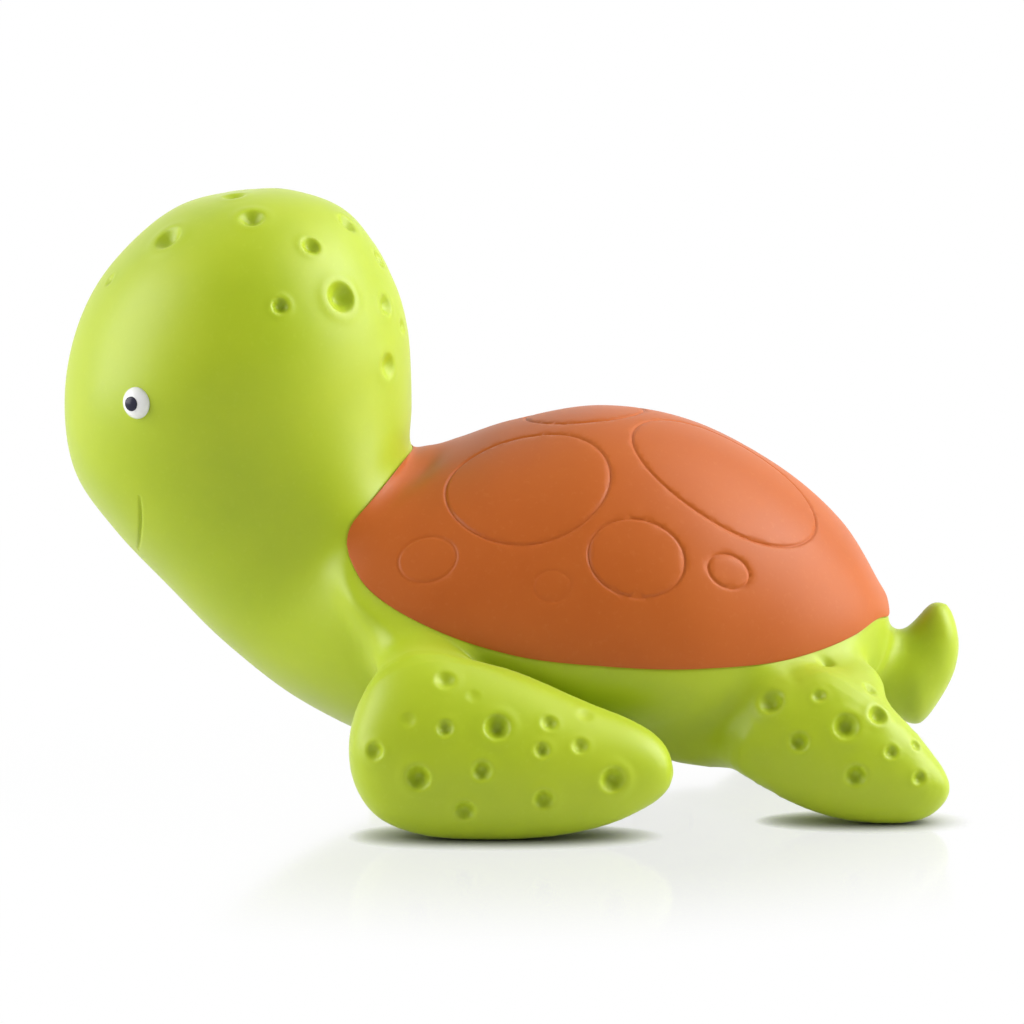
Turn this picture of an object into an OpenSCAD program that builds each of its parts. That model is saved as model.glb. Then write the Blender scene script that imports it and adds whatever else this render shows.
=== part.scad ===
// Squeaky bath toy: a hollow rubber sea turtle that stands on its four flippers.
// The head looks along -X, the left side is -Y and the table is at z = 0.
// A rib is a cross-section [top x, top z, bottom x, bottom z, half width, height share of the widest line].

/* [Body] */
// Length of the body from the throat to the rear of the shell
body_length = 88; // [78:1:98]
// Height of the body from the belly to the top of the shell
body_height = 45; // [40:1:50]
// Width of the body across the rim of the shell
body_width = 59; // [54:1:62]
// Height of the belly above the table
belly_clearance = 5.4; // [4.6:0.1:6.4]
// Thickness of the moulded rubber skin
skin_wall = 2.6; // [2:0.1:3]
// Glue line between the shell and the lower body
bond_line = 0.2; // [0.1:0.05:0.4]

/* [Head] */
// Length of the head from the back of the neck to the muzzle
head_length = 46; // [40:1:52]
// Height of the head above the middle of the neck seam
head_height = 47.3; // [40:0.1:54]
// Width of the head
head_width = 45; // [40:1:50]
// Diameter of the hollow pin that the head turns on
neck_pin_d = 12; // [10:0.5:13]
// Air passage through the neck pin
neck_bore_d = 7; // [5:0.5:8]
// Diameter of the flange that keeps the neck pin in the body
neck_flange_d = 16; // [14.5:0.5:17]
// Thickness of the neck flange
neck_flange = 1.6; // [1.2:0.1:2.2]
// Length of the neck pin between the seam and its flange
neck_grip = 4.6; // [4.4:0.1:6]

/* [Eyes] */
// Diameter of the white of an eye
eye_d = 4.4; // [3.6:0.1:6]
// Height of the eye's dome above the skin
eye_dome = 1.4; // [1:0.1:1.8]
// Depth of the eye's seat in the skin
eye_seat = 1; // [0.8:0.1:1.4]
// Diameter of the pupil
pupil_d = 1.9; // [1.4:0.1:2.4]
// Depth of the pupil's seat in the eye
pupil_seat = 0.7; // [0.5:0.1:0.9]

/* [Front flippers] */
// Length of a front flipper
front_length = 40.8; // [36:0.2:44]
// Height of a front flipper
front_height = 25.2; // [22:0.2:26]
// Thickness of a front flipper
front_thick = 13.6; // [11:0.2:14]
// Distance of a front flipper's leading edge ahead of the toy's centre
front_lead = 20.8; // [18:0.2:23]
// Distance of a front flipper's middle outside the rim of the shell
front_offset = 4; // [2.5:0.5:8.5]
// Lean of a front flipper's top towards the body
front_lean = 16; // [10:1:18]

/* [Rear flippers] */
// Length of a rear flipper
rear_length = 29.8; // [26:0.2:34]
// Height of a rear flipper
rear_height = 20.6; // [18:0.2:21]
// Thickness of a rear flipper
rear_thick = 11; // [9:0.2:12]
// Distance of a rear flipper's leading edge behind the toy's centre
rear_lead = 25.8; // [24:0.2:30]
// Distance of a rear flipper's middle outside the rim of the shell
rear_offset = -4; // [-5.5:0.5:0.5]
// Lean of a rear flipper's top towards the body
rear_lean = 12; // [6:1:14]

/* [Tail] */
// Length of the curled tail behind the body
tail_length = 8; // [6:0.2:11]
// Height of the curled tail
tail_height = 16.4; // [14:0.2:19]
// Width of the tail at its root
tail_width = 10.6; // [8:0.2:12]

/* [Flexing roots] */
// Diameter of the bead at the root of a flipper
root_bead_d = 9; // [8:0.2:9.6]
// Diameter of the bead at the root of the tail
tail_bead_d = 5.6; // [5:0.2:6]
// Thickness of the web between a bead and its flipper
root_web = 4.4; // [3.6:0.1:4.8]
// Thickness of the web between the tail's bead and the tail
tail_web = 2.4; // [2:0.1:2.8]
// Wall of the boss that holds a bead
root_wall = 2; // [1.6:0.1:2.4]
// Running clearance round a bead
bead_clearance = 0.08; // [0.04:0.01:0.1]
// Largest bend of a limb at its root, in degrees
root_flex = 12; // [8:1:14]
// Depth by which a flipper's sole is flattened
sole_flat = 0.4; // [0.2:0.1:0.8]

/* [Belly and squeaker] */
// Diameter of the panel that is pushed in to squeak
panel_d = 31.4; // [28:0.2:33]
// Thickness of the panel
panel_thick = 4.1; // [3.6:0.1:5]
// Width of the lip that keeps the panel in the body
panel_lip = 2.6; // [2:0.1:3]
// Thickness of the lip
panel_lip_thick = 1.5; // [1.2:0.1:2]
// How far the panel is pushed in
panel_travel = 4; // [2:0.5:5]
// Distance of the panel behind the toy's centre
panel_x = 8; // [6:0.5:10]
// Outer diameter of the squeaker's case
case_d = 13; // [12:0.2:15]
// Height of the squeaker's case
case_height = 10; // [9:0.2:12]
// Wall of the squeaker's case
case_wall = 1.1; // [0.9:0.1:1.3]
// Diameter of the case's flange under the panel
case_flange_d = 16.4; // [15.8:0.2:19]
// Thickness of the case's flange
case_flange = 1.4; // [1:0.1:1.8]
// Diameter of the sound hole
sound_hole_d = 4.4; // [3:0.2:5]
// Thickness of the plate that carries the reed
reed_plate = 1.6; // [1.4:0.1:2]
// Length of the reed
reed_length = 6.4; // [5.4:0.1:6.8]
// Width of the reed
reed_width = 2.4; // [2:0.1:3]
// Thickness of the reed
reed_thick = 0.3; // [0.2:0.05:0.4]
// Diameter of the roll at the reed's root
reed_roll_d = 1.1; // [0.9:0.1:1.2]
// Diameter of the holes in the squeaker's cap
cap_hole_d = 1.8; // [1.2:0.1:2.2]
// Number of holes in the squeaker's cap
cap_holes = 5; // [3:1:6]

/* [Hidden] */
$fn = 64;

// Free space between pieces that move past each other
play = 0.3;
// Clearance between pieces that are pressed together
press_gap = 0.05;
// Overrun of a cut past the face that it opens
overrun = 1;
// Step used to find a skin's slope
probe = 0.02;
// Resolution of the moulded skins: rows to a rib, and columns round a whole section
rib_rows = 3;
skin_columns = 40;
limb_rows = 2;
limb_columns = 20;

// Colours of the rubber and the plastic
green = "#9aab2b";
orange = "#b8642c";
white = "#f4f3ee";
navy = "#26263a";
plastic = "#dfe3e2";
brass = "#c9a24a";

// Body ribs from the neck seam to the rear, as shares of the body's length, height and half width
body_shares = [
    [-0.157, 0.88, -0.427, 0.313, 0.68, 0.64],
    [-0.127, 0.88, -0.324, 0.107, 0.79, 0.56],
    [-0.08, 0.902, -0.17, 0.009, 0.89, 0.485],
    [0, 0.953, 0, 0, 0.97, 0.385],
    [0.13, 1, 0.136, 0, 1, 0.34],
    [0.266, 0.953, 0.273, 0.011, 0.95, 0.347],
    [0.398, 0.82, 0.409, 0.062, 0.78, 0.4],
    [0.494, 0.658, 0.511, 0.151, 0.54, 0.48],
    [0.551, 0.484, 0.572, 0.253, 0.27, 0.66],
    [0.578, 0.389, 0.578, 0.389, 0, 0.5]];
// Squareness of the lower half of a body rib: 1 is an ellipse, less is flatter below
belly_share = 0.75;
// Head ribs above the neck seam, as shares of the head's length, height and half width from the seam's middle
head_shares = [
    [0.263, 0.375, -0.448, -0.126, 0.9, 0.56],
    [0.261, 0.502, -0.604, 0.045, 0.955, 0.5],
    [0.252, 0.608, -0.711, 0.217, 1, 0.5],
    [0.222, 0.72, -0.735, 0.43, 1, 0.5],
    [0.154, 0.849, -0.687, 0.64, 0.9, 0.5],
    [0.052, 0.942, -0.58, 0.809, 0.71, 0.5],
    [-0.028, 0.98, -0.398, 0.936, 0.42, 0.5],
    [-0.191, 1, -0.191, 1, 0, 0.5]];
// Flipper ribs from the leading edge to the tip, as shares of a flipper's length, height and half thickness
front_shares = [
    [0, 0.48, 0, 0.48, 0, 0.5],
    [0.025, 0.68, 0.02, 0.28, 0.55, 0.5],
    [0.08, 0.9, 0.093, 0.12, 0.85, 0.5],
    [0.18, 1, 0.24, 0, 1, 0.5],
    [0.363, 0.92, 0.424, 0, 1, 0.5],
    [0.56, 0.8, 0.608, 0, 0.94, 0.5],
    [0.743, 0.7, 0.79, 0.07, 0.8, 0.5],
    [0.89, 0.6, 0.926, 0.18, 0.6, 0.5],
    [0.97, 0.5, 0.988, 0.27, 0.36, 0.5],
    [1, 0.376, 1, 0.376, 0, 0.5]];
rear_shares = [
    [0, 0.43, 0, 0.43, 0, 0.5],
    [0.1, 0.74, 0.074, 0.31, 0.55, 0.5],
    [0.242, 0.916, 0.242, 0.187, 0.83, 0.5],
    [0.426, 1, 0.443, 0.064, 1, 0.5],
    [0.61, 0.936, 0.644, 0, 1, 0.5],
    [0.762, 0.75, 0.812, 0, 0.85, 0.5],
    [0.889, 0.522, 0.926, 0.06, 0.62, 0.5],
    [0.973, 0.355, 0.99, 0.158, 0.35, 0.5],
    [1, 0.25, 1, 0.25, 0, 0.5]];
// Tail ribs from its root to its tip, as shares of the tail's length, height and half width
tail_shares = [
    [0, 0.77, 0.02, 0.04, 1, 0.5],
    [0.13, 0.8, 0.4, 0, 0.98, 0.5],
    [0.26, 0.86, 0.76, 0.2, 0.86, 0.5],
    [0.42, 0.94, 0.97, 0.46, 0.74, 0.5],
    [0.6, 0.99, 1, 0.7, 0.54, 0.5],
    [0.84, 0.95, 0.84, 0.95, 0, 0.5]];

// Place of the head's pin along the neck seam, from the throat to the back
neck_pin_share = 0.36;
// Rib and angle of an eye on the head, counted from the neck seam and from the back
eye_rib_share = 3.72;
eye_angle = 121;
// First rib of the hollow inside the head and the body, which sets the plates at the neck seam
head_hollow_share = 0.5;
body_hollow_share = 0.35;
// Last rib of the hollow as a share of the ribs, which sets the wall at a rounded end
hollow_end_share = 0.965;

// Places of the root beads, as shares of the body's length and half width and of the limb's height
front_root_share = [-0.188, 0.62];
front_bead_share = [0.38, 0.32];
rear_root_share = [0.324, 0.68];
rear_bead_share = [0.41, 0.2];
tail_root_share = 0.524;
tail_bead_share = [0.4, 0.3];
// Height of the tail's underside above the belly
tail_lift_share = 0.05;

// Seat of the belly panel and the pieces of the squeaker
panel_r = panel_d / 2;
seat_r = panel_r + play;
seat_wall = panel_lip + play;
seat_height = panel_thick - play;
panel_bottom = belly_clearance;
case_top = panel_bottom + case_height;
shelf_z = panel_bottom + panel_thick;
reed_shelf = 0.8;
plate_r = case_d / 2 - case_wall - press_gap;
plate_top = shelf_z + reed_plate;
reed_root_x = panel_x - reed_length / 2;
roll_z = plate_top + play;
cap_plug = 1.2;
cap_thick = 1.2;
cap_ring_share = 0.5;
air_slot_length_share = 0.62;
air_slot_width_share = 0.6;

// Value of a Catmull-Rom curve through the rows of a list, u counted in rows
function row(list, i) =
    i < 0 ? 2 * list[0] - list[1] :
    i >= len(list) ? 2 * list[len(list) - 1] - list[len(list) - 2] : list[i];
function curve(list, u) =
    let (i = min(floor(u), len(list) - 2), t = u - i,
        a = row(list, i - 1), b = row(list, i), c = row(list, i + 1), d = row(list, i + 2))
    (2 * b + (c - a) * t + (2 * a - 5 * b + 4 * c - d) * pow(t, 2) + (3 * b - a - 3 * c + d) * pow(t, 3)) / 2;

// Point of a rib at an angle from its top
function rib_point(rib, angle, square = 1) =
    let (up = cos(angle), side = sin(angle),
        along = rib[5] + up * (up > 0 ? 1 - rib[5] : rib[5]),
        out = sign(side) * pow(abs(side), up > 0 ? 1 : square))
    [rib[2] + (rib[0] - rib[2]) * along, max(rib[4], 0) * out, rib[3] + (rib[1] - rib[3]) * along];

// Rib drawn in by a wall all round
function drawn_in(rib, wall) =
    let (chord = [rib[0] - rib[2], rib[1] - rib[3]], inward = chord * wall / norm(chord))
    [rib[0] - inward.x, rib[1] - inward.y, rib[2] + inward.x, rib[3] + inward.y, rib[4] - wall, rib[5]];

// Rib moved by a vector in the profile plane
function moved(rib, by) = [rib[0] + by.x, rib[1] + by.y, rib[2] + by.x, rib[3] + by.y, rib[4], rib[5]];

// Ribs from their shares, with the places counted from an origin
function ribs(shares, origin, size) =
    [for (s = shares)
        [origin.x + s[0] * size.x, origin.y + s[1] * size.y,
         origin.x + s[2] * size.x, origin.y + s[3] * size.y, s[4] * size.z / 2, s[5]]];

// Angles round a section, and the ribs between two places on a curve without the end itself
function angles(from, to, count) = [for (i = [0 : count]) from + (to - from) * i / count];
function stations(list, from, to, count) = [for (i = [0 : count - 1]) curve(list, from + (to - from) * i / count)];
function skin_rows(list, round, wall = 0, square = 1) =
    [for (rib = list) [for (a = round) rib_point(wall == 0 ? rib : drawn_in(rib, wall), a, square)]];
function flat(rows) = [for (r = rows) each r];

// Faces of a grid of points, of a fan to one point and of a flat cap
function grid_faces(rows, columns, base, closed) =
    [for (i = [0 : rows - 2], j = [0 : columns - (closed ? 1 : 2)])
        let (a = base + i * columns + j, b = base + i * columns + (j + 1) % columns,
            c = b + columns, d = a + columns)
        each [[a, b, c], [a, c, d]]];
function fan_faces(columns, base, tip, closed) =
    [for (j = [0 : columns - (closed ? 1 : 2)]) [base + j, base + (j + 1) % columns, tip]];
function cap_faces(columns, base) = [for (j = [1 : columns - 2]) [base, base + j + 1, base + j]];
function flipped(faces) = [for (f = faces) [f[2], f[1], f[0]]];

// Ribs of the body and the head in place
body_ribs = ribs(body_shares, [0, belly_clearance], [body_length, body_height, body_width]);
seam = body_ribs[0];
seam_chord = [seam[0] - seam[2], seam[1] - seam[3]];
seam_along = seam_chord / norm(seam_chord);
seam_up = [-seam_along.y, seam_along.x];
seam_middle = [seam[0] + seam[2], seam[1] + seam[3]] / 2;
seam_pin = [seam[2], seam[3]] + neck_pin_share * seam_chord;
seam_tilt = atan2(seam_up.x, seam_up.y);
head_seam = moved(seam, seam_up * play);
head_ribs = concat([head_seam], ribs(head_shares, seam_middle, [head_length, head_height, head_width]));
body_end = len(body_ribs) - 1;
head_end = len(head_ribs) - 1;
rim_angle = 90 - atan(bond_line / (body_height / 2));

// Place and slope of a point on the head's skin
function head_point(rib, angle) = rib_point(curve(head_ribs, rib), angle);
function head_normal(rib, angle) =
    let (across = head_point(rib, angle + probe) - head_point(rib, angle - probe),
        up = head_point(rib + probe, angle) - head_point(rib - probe, angle), n = cross(across, up))
    n / norm(n);

// Half of a hollow skin between two angles, with a plate over its front end or open there
module half_skin(list, from, to, hollow_start, plate, square) {
    columns = skin_columns / 2 + 1;
    round = angles(from, to, columns - 1);
    rows = body_end * rib_rows;
    outer = skin_rows(stations(list, 0, body_end, rows), round, 0, square);
    inner = skin_rows(stations(list, hollow_start, body_end * hollow_end_share, rows), round, skin_wall, square);
    outer_tip = rib_point(curve(list, body_end), from, square);
    inner_tip = rib_point(drawn_in(curve(list, body_end * hollow_end_share), skin_wall), from, square);
    half = rows * columns + 1;
    last = (rows - 1) * columns;
    edge_a = concat([for (i = [0 : rows - 1]) i * columns], [half - 1]);
    edge_b = concat([for (i = [0 : rows - 1]) i * columns + columns - 1], [half - 1]);
    front = [for (j = [0 : columns - 1]) j];
    mouth = plate ? [0, columns - 1] : front;
    polyhedron(
        concat(flat(outer), [outer_tip], flat(inner), [inner_tip]),
        concat(
            grid_faces(rows, columns, 0, false), fan_faces(columns, last, half - 1, false),
            flipped(grid_faces(rows, columns, half, false)),
            flipped(fan_faces(columns, half + last, 2 * half - 1, false)),
            plate ? concat(cap_faces(columns, 0), flipped(cap_faces(columns, half))) : [],
            flipped(strip_faces(edge_b, half)), strip_faces(edge_a, half), flipped(strip_faces(mouth, half))));
}

// Faces between a row of outer points and the inner points that match them
function strip_faces(row, half) =
    [for (i = [0 : len(row) - 2])
        each [[row[i], row[i + 1], row[i + 1] + half], [row[i], row[i + 1] + half, row[i] + half]]];

// Closed solid through ribs that starts with a flat cap and ends in a rounded tip
module capped_loft(list, from, to, rows, columns, turn, wall = 0, square = 1) {
    open = [for (j = [0 : columns - 1]) turn * 360 * j / columns];
    rings = skin_rows(stations(list, from, to, rows), open, wall, square);
    end_rib = curve(list, to);
    tip = rib_point(end_rib, 0);
    polyhedron(
        concat(flat(rings), [[tip.x, 0, tip.z]]),
        concat(cap_faces(columns, 0), grid_faces(rows, columns, 0, true),
            fan_faces(columns, (rows - 1) * columns, rows * columns, true)));
}

// Points of a flipper: its ribs leaned over and set down on the table
function leaned(p, lean) = [p.x, p.y * cos(lean) + p.z * sin(lean), p.z * cos(lean) - p.y * sin(lean)];
function flipper_rows(shares, size, lean) =
    let (list = ribs(shares, [0, 0], size), count = (len(list) - 1) * limb_rows,
        open = [for (j = [0 : limb_columns - 1]) 360 * j / limb_columns])
    [for (i = [1 : count - 1]) [for (a = open) leaned(rib_point(curve(list, i / limb_rows), a), lean)]];

// Body grown by the play, which a limb is cut clear of, or drawn in to the middle of its skin
module body_form(wall) {
    capped_loft(body_ribs, 0, body_end, body_end * limb_rows, skin_columns, 1, wall, belly_share);
}

// Flipper that stands on the table, cut clear of the body at both ends of its bend
module flipper(shares, size, lead, reach, lean, root) {
    rows = flipper_rows(shares, size, lean);
    list = ribs(shares, [0, 0], size);
    nose = leaned(rib_point(list[0], 0), lean);
    tip = leaned(rib_point(list[len(list) - 1], 0), lean);
    count = len(rows);
    points = concat(flat(rows), [nose, tip]);
    low = min([for (p = points) p.z]);
    middle = size.y / 2 * sin(lean);
    difference() {
        translate([lead, -reach - middle, -low - sole_flat])
            polyhedron(points, concat(
                flipped(fan_faces(limb_columns, 0, count * limb_columns, true)),
                grid_faces(count, limb_columns, 0, true),
                fan_faces(limb_columns, (count - 1) * limb_columns, count * limb_columns + 1, true)));
        translate([lead - overrun, -reach - size.y, -size.y])
            cube([size.x + 2 * overrun, 2 * size.y, size.y]);
        for (bend = [0, root_flex])
            translate([root[0], root[1], 0])
                rotate(bend)
                    translate([-root[0], -root[1], 0])
                        body_form(-play);
    }
}

// Distance of the flippers' middles from the toy's midline
front_reach = body_width / 2 + front_offset;
rear_reach = body_width / 2 + rear_offset;
tail_start = body_ribs[body_end][0] + 2 * play;

// Root of a limb: [x, y, foot of the bead, height of the bead, direction of the web, bead diameter, web]
front_root = [front_root_share.x * body_length, -front_root_share.y * body_width / 2,
    front_bead_share.x * front_height, front_bead_share.y * front_height, -90, root_bead_d, root_web];
rear_root = [rear_root_share.x * body_length, -rear_root_share.y * body_width / 2,
    rear_bead_share.x * rear_height, rear_bead_share.y * rear_height, -90, root_bead_d, root_web];
tail_root = [tail_root_share * body_length, 0,
    belly_clearance + tail_lift_share * body_height + tail_bead_share.x * tail_height,
    tail_bead_share.y * tail_height, 0, tail_bead_d, tail_web];

module root_boss(root) {
    translate([root[0], root[1], root[2] - play - root_wall])
        cylinder(d = root[5] + 2 * root_wall, h = root[3] + 2 * (play + root_wall));
}

module root_socket(root, reach) {
    opening = root[6] / 2 + play;
    translate([root[0], root[1], root[2] - play]) {
        cylinder(d = root[5] + 2 * bead_clearance, h = root[3] + 2 * play);
        rotate(root[4])
            linear_extrude(root[3] + 2 * play)
                polygon([[0, -opening], [reach, -opening - reach * tan(root_flex)],
                    [reach, opening + reach * tan(root_flex)], [0, opening]]);
    }
}

module root_bead(root, reach) {
    translate([root[0], root[1], root[2]]) {
        cylinder(d = root[5], h = root[3]);
        rotate(root[4])
            translate([0, -root[6] / 2, 0])
                cube([reach, root[6], root[3]]);
    }
}

module mirrored_pair() {
    children();
    mirror([0, 1, 0])
        children();
}

// Frame on the neck seam's pin, with z along the pin into the head
module at_neck() {
    translate([seam_pin.x, 0, seam_pin.y])
        rotate([0, seam_tilt, 0])
            children();
}

// Frame on the head's skin at an eye, with z out of the skin
module at_eye(side) {
    place = head_point(eye_rib_share, side * eye_angle);
    out = head_normal(eye_rib_share, side * eye_angle);
    translate(place)
        rotate([0, acos(out.z), atan2(out.y, out.x)])
            children();
}

module lower_body() {
    socket_reach = body_width / 2;
    color(green)
        difference() {
            union() {
                half_skin(body_ribs, 90, 270, body_hollow_share, true, belly_share);
                intersection() {
                    body_form(skin_wall / 2);
                    union() {
                        mirrored_pair() {
                            root_boss(front_root);
                            root_boss(rear_root);
                        }
                        root_boss(tail_root);
                    }
                }
                translate([panel_x, 0, panel_bottom - press_gap])
                    cylinder(r = seat_r + seat_wall, h = seat_height);
            }
            mirrored_pair() {
                root_socket(front_root, socket_reach);
                root_socket(rear_root, socket_reach);
            }
            root_socket(tail_root, socket_reach);
            translate([panel_x, 0, 0])
                cylinder(r = seat_r, h = panel_bottom + seat_height + overrun);
            translate([panel_x, 0, panel_bottom + seat_height])
                cylinder(r = panel_r + panel_lip + play, h = play + panel_lip_thick + panel_travel + overrun);
            at_neck()
                translate([0, 0, -neck_grip])
                    cylinder(d = neck_pin_d + 2 * bead_clearance, h = neck_grip + overrun);
        }
}

module shell() {
    color(orange)
        half_skin(body_ribs, -rim_angle, rim_angle, 0, false, 1);
}

module head() {
    color(green)
        difference() {
            union() {
                difference() {
                    capped_loft(head_ribs, 0, head_end, head_end * rib_rows, skin_columns, -1);
                    capped_loft(head_ribs, head_hollow_share, head_end * hollow_end_share,
                        head_end * rib_rows, skin_columns, -1, skin_wall);
                }
                at_neck() {
                    translate([0, 0, -neck_grip])
                        cylinder(d = neck_pin_d, h = neck_grip + skin_wall / 2 + play);
                    translate([0, 0, -neck_grip - neck_flange])
                        cylinder(d = neck_flange_d, h = neck_flange);
                }
            }
            at_neck()
                translate([0, 0, -neck_grip - neck_flange - overrun])
                    cylinder(d = neck_bore_d, h = 2 * (neck_grip + neck_flange + overrun));
            for (side = [-1, 1])
                at_eye(side)
                    translate([0, 0, -eye_seat - press_gap])
                        cylinder(d = eye_d + 2 * press_gap, h = 2 * eye_seat);
        }
}

module front_flipper() {
    color(green)
        union() {
            flipper(front_shares, [front_length, front_height, front_thick],
                -front_lead, front_reach, front_lean, front_root);
            root_bead(front_root, front_reach + front_root[1]);
        }
}

module rear_flipper() {
    color(green)
        union() {
            flipper(rear_shares, [rear_length, rear_height, rear_thick],
                rear_lead, rear_reach, rear_lean, rear_root);
            root_bead(rear_root, rear_reach + rear_root[1]);
        }
}

module front_flipper_left() {
    front_flipper();
}

module front_flipper_right() {
    mirror([0, 1, 0])
        front_flipper();
}

module rear_flipper_left() {
    rear_flipper();
}

module rear_flipper_right() {
    mirror([0, 1, 0])
        rear_flipper();
}

module tail() {
    tail_ribs = ribs(tail_shares, [tail_start, belly_clearance + tail_lift_share * body_height],
        [tail_length, tail_height, tail_width]);
    tail_end = len(tail_ribs) - 1;
    color(green)
        union() {
            capped_loft(tail_ribs, 0, tail_end, tail_end * limb_rows, limb_columns, 1);
            root_bead(tail_root, tail_start - tail_root[0] + tail_web);
        }
}

// Button with a flat seat and a domed face
module dome(d, height, seat) {
    bulge = (pow(d / 2, 2) + pow(height, 2)) / (2 * height);
    intersection() {
        translate([0, 0, height - bulge])
            sphere(r = bulge);
        cylinder(d = d, h = height);
    }
    translate([0, 0, -seat])
        cylinder(d = d, h = seat);
}

module eye_white(side) {
    color(white)
        at_eye(side)
            difference() {
                dome(eye_d, eye_dome, eye_seat);
                translate([0, 0, eye_dome - pupil_seat])
                    cylinder(d = pupil_d + 2 * press_gap, h = eye_dome);
            }
}

module pupil(side) {
    color(navy)
        at_eye(side)
            translate([0, 0, eye_dome - pupil_seat + press_gap])
                cylinder(d = pupil_d, h = pupil_seat);
}

module eye_white_left() {
    eye_white(-1);
}

module eye_white_right() {
    eye_white(1);
}

module pupil_left() {
    pupil(-1);
}

module pupil_right() {
    pupil(1);
}

module belly_panel() {
    color(green)
        translate([panel_x, 0, panel_bottom])
            difference() {
                union() {
                    cylinder(d = panel_d, h = panel_thick);
                    translate([0, 0, panel_thick])
                        cylinder(r = panel_r + panel_lip, h = panel_lip_thick);
                }
                translate([0, 0, -overrun])
                    cylinder(d = case_d + 2 * press_gap, h = panel_thick + panel_lip_thick + 2 * overrun);
                translate([0, 0, -overrun])
                    cylinder(d = case_flange_d + 2 * press_gap, h = overrun + case_flange + press_gap);
            }
}

module squeaker_case() {
    color(plastic)
        translate([panel_x, 0, panel_bottom])
            difference() {
                union() {
                    cylinder(d = case_flange_d, h = case_flange);
                    cylinder(d = case_d, h = case_height);
                }
                translate([0, 0, -overrun])
                    cylinder(d = sound_hole_d, h = case_height);
                translate([0, 0, case_flange])
                    cylinder(r = plate_r - reed_shelf, h = case_height);
                translate([0, 0, shelf_z - panel_bottom])
                    cylinder(d = case_d - 2 * case_wall, h = case_height);
            }
}

module squeaker_reed_plate() {
    slot = [reed_length * air_slot_length_share, reed_width * air_slot_width_share, reed_plate + 2 * overrun];
    color(plastic)
        difference() {
            translate([panel_x, 0, shelf_z])
                cylinder(r = plate_r, h = reed_plate);
            translate([panel_x - slot.x / 2 + reed_roll_d, -slot.y / 2, shelf_z - overrun])
                cube(slot);
            translate([reed_root_x, 0, roll_z])
                rotate([90, 0, 0])
                    cylinder(d = reed_roll_d + 2 * bead_clearance, h = reed_width + 2 * play, center = true);
        }
}

module squeaker_reed() {
    color(brass)
        translate([reed_root_x, 0, roll_z])
            union() {
                rotate([90, 0, 0])
                    cylinder(d = reed_roll_d, h = reed_width, center = true);
                translate([0, -reed_width / 2, 0])
                    cube([reed_length, reed_width, reed_thick]);
            }
}

module squeaker_cap() {
    ring = (case_d / 2 - case_wall) * cap_ring_share;
    color(plastic)
        translate([panel_x, 0, case_top])
            difference() {
                union() {
                    cylinder(d = case_d, h = cap_thick);
                    translate([0, 0, -cap_plug])
                        cylinder(r = plate_r, h = cap_plug);
                }
                for (i = [1 : cap_holes])
                    rotate(360 * i / cap_holes)
                        translate([ring, 0, -cap_plug - overrun])
                            cylinder(d = cap_hole_d, h = cap_plug + cap_thick + 2 * overrun);
            }
}

lower_body();
shell();
head();
front_flipper_left();
front_flipper_right();
rear_flipper_left();
rear_flipper_right();
tail();
eye_white_left();
eye_white_right();
pupil_left();
pupil_right();
belly_panel();
squeaker_case();
squeaker_reed_plate();
squeaker_reed();
squeaker_cap();
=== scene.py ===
"""Looks of a squeaky bath toy: a hollow rubber sea turtle that stands on four flippers.

The rubber is modelled as one moulded skin, cut into the pieces that move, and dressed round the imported
solids. Lengths are in millimetres until a piece is finished. The head looks along -X and the table is at
z = 0. Places in the studio are in metres.
"""

import logging
import math
from dataclasses import dataclass
from enum import Enum
from typing import Callable, ClassVar, NamedTuple, Sequence

import bmesh
import bpy
from mathutils import Matrix, Vector
from mathutils.bvhtree import BVHTree
from mathutils.kdtree import KDTree


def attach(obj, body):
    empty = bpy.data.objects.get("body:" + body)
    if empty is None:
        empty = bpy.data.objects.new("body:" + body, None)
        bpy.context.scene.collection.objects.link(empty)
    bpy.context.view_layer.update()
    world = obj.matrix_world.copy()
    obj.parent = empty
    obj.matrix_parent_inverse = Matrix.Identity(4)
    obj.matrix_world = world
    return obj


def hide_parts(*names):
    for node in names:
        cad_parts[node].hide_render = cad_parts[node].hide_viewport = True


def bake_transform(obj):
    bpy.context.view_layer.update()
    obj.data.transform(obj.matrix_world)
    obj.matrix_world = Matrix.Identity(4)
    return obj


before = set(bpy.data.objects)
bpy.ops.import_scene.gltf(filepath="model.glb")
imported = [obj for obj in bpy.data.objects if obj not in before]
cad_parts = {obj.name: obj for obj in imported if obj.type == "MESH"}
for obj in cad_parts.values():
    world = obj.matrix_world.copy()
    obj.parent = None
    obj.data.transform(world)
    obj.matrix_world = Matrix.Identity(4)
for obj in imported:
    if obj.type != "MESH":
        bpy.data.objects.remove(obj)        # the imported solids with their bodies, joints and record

LOG = logging.getLogger("bath_toy")
BMesh = bmesh.types.BMesh
Colour = tuple[float, float, float]
MM = 0.001
WELD = 1e-4
SHARP_ANGLE = math.radians(50)
# Places of the colour sockets on a Mix node
MIX_A = 6
MIX_B = 7
MIX_OUT = 2


class Side(Enum):
    """Sides of the toy, valued by the sign of y."""

    LEFT = -1
    RIGHT = 1


class Pair(Enum):
    """Pairs of flippers."""

    FRONT = "front"
    REAR = "rear"


class Slot(Enum):
    """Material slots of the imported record."""

    GREEN = "green_rubber"
    ORANGE = "orange_rubber"
    WHITE = "eye_white"
    NAVY = "pupil_navy"
    PLASTIC = "squeaker_plastic"
    BRASS = "reed_brass"


def eased(value: float, start: float, end: float) -> float:
    """Smooth step from 0 at start to 1 at end."""
    share = min(1.0, max(0.0, (value - start) / (end - start)))
    return share * share * (3 - 2 * share)


def bell(value: float, width: float) -> float:
    """Bell curve that is 1 at zero and fades over a width."""
    return math.exp(-(value / width) ** 2)


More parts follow.
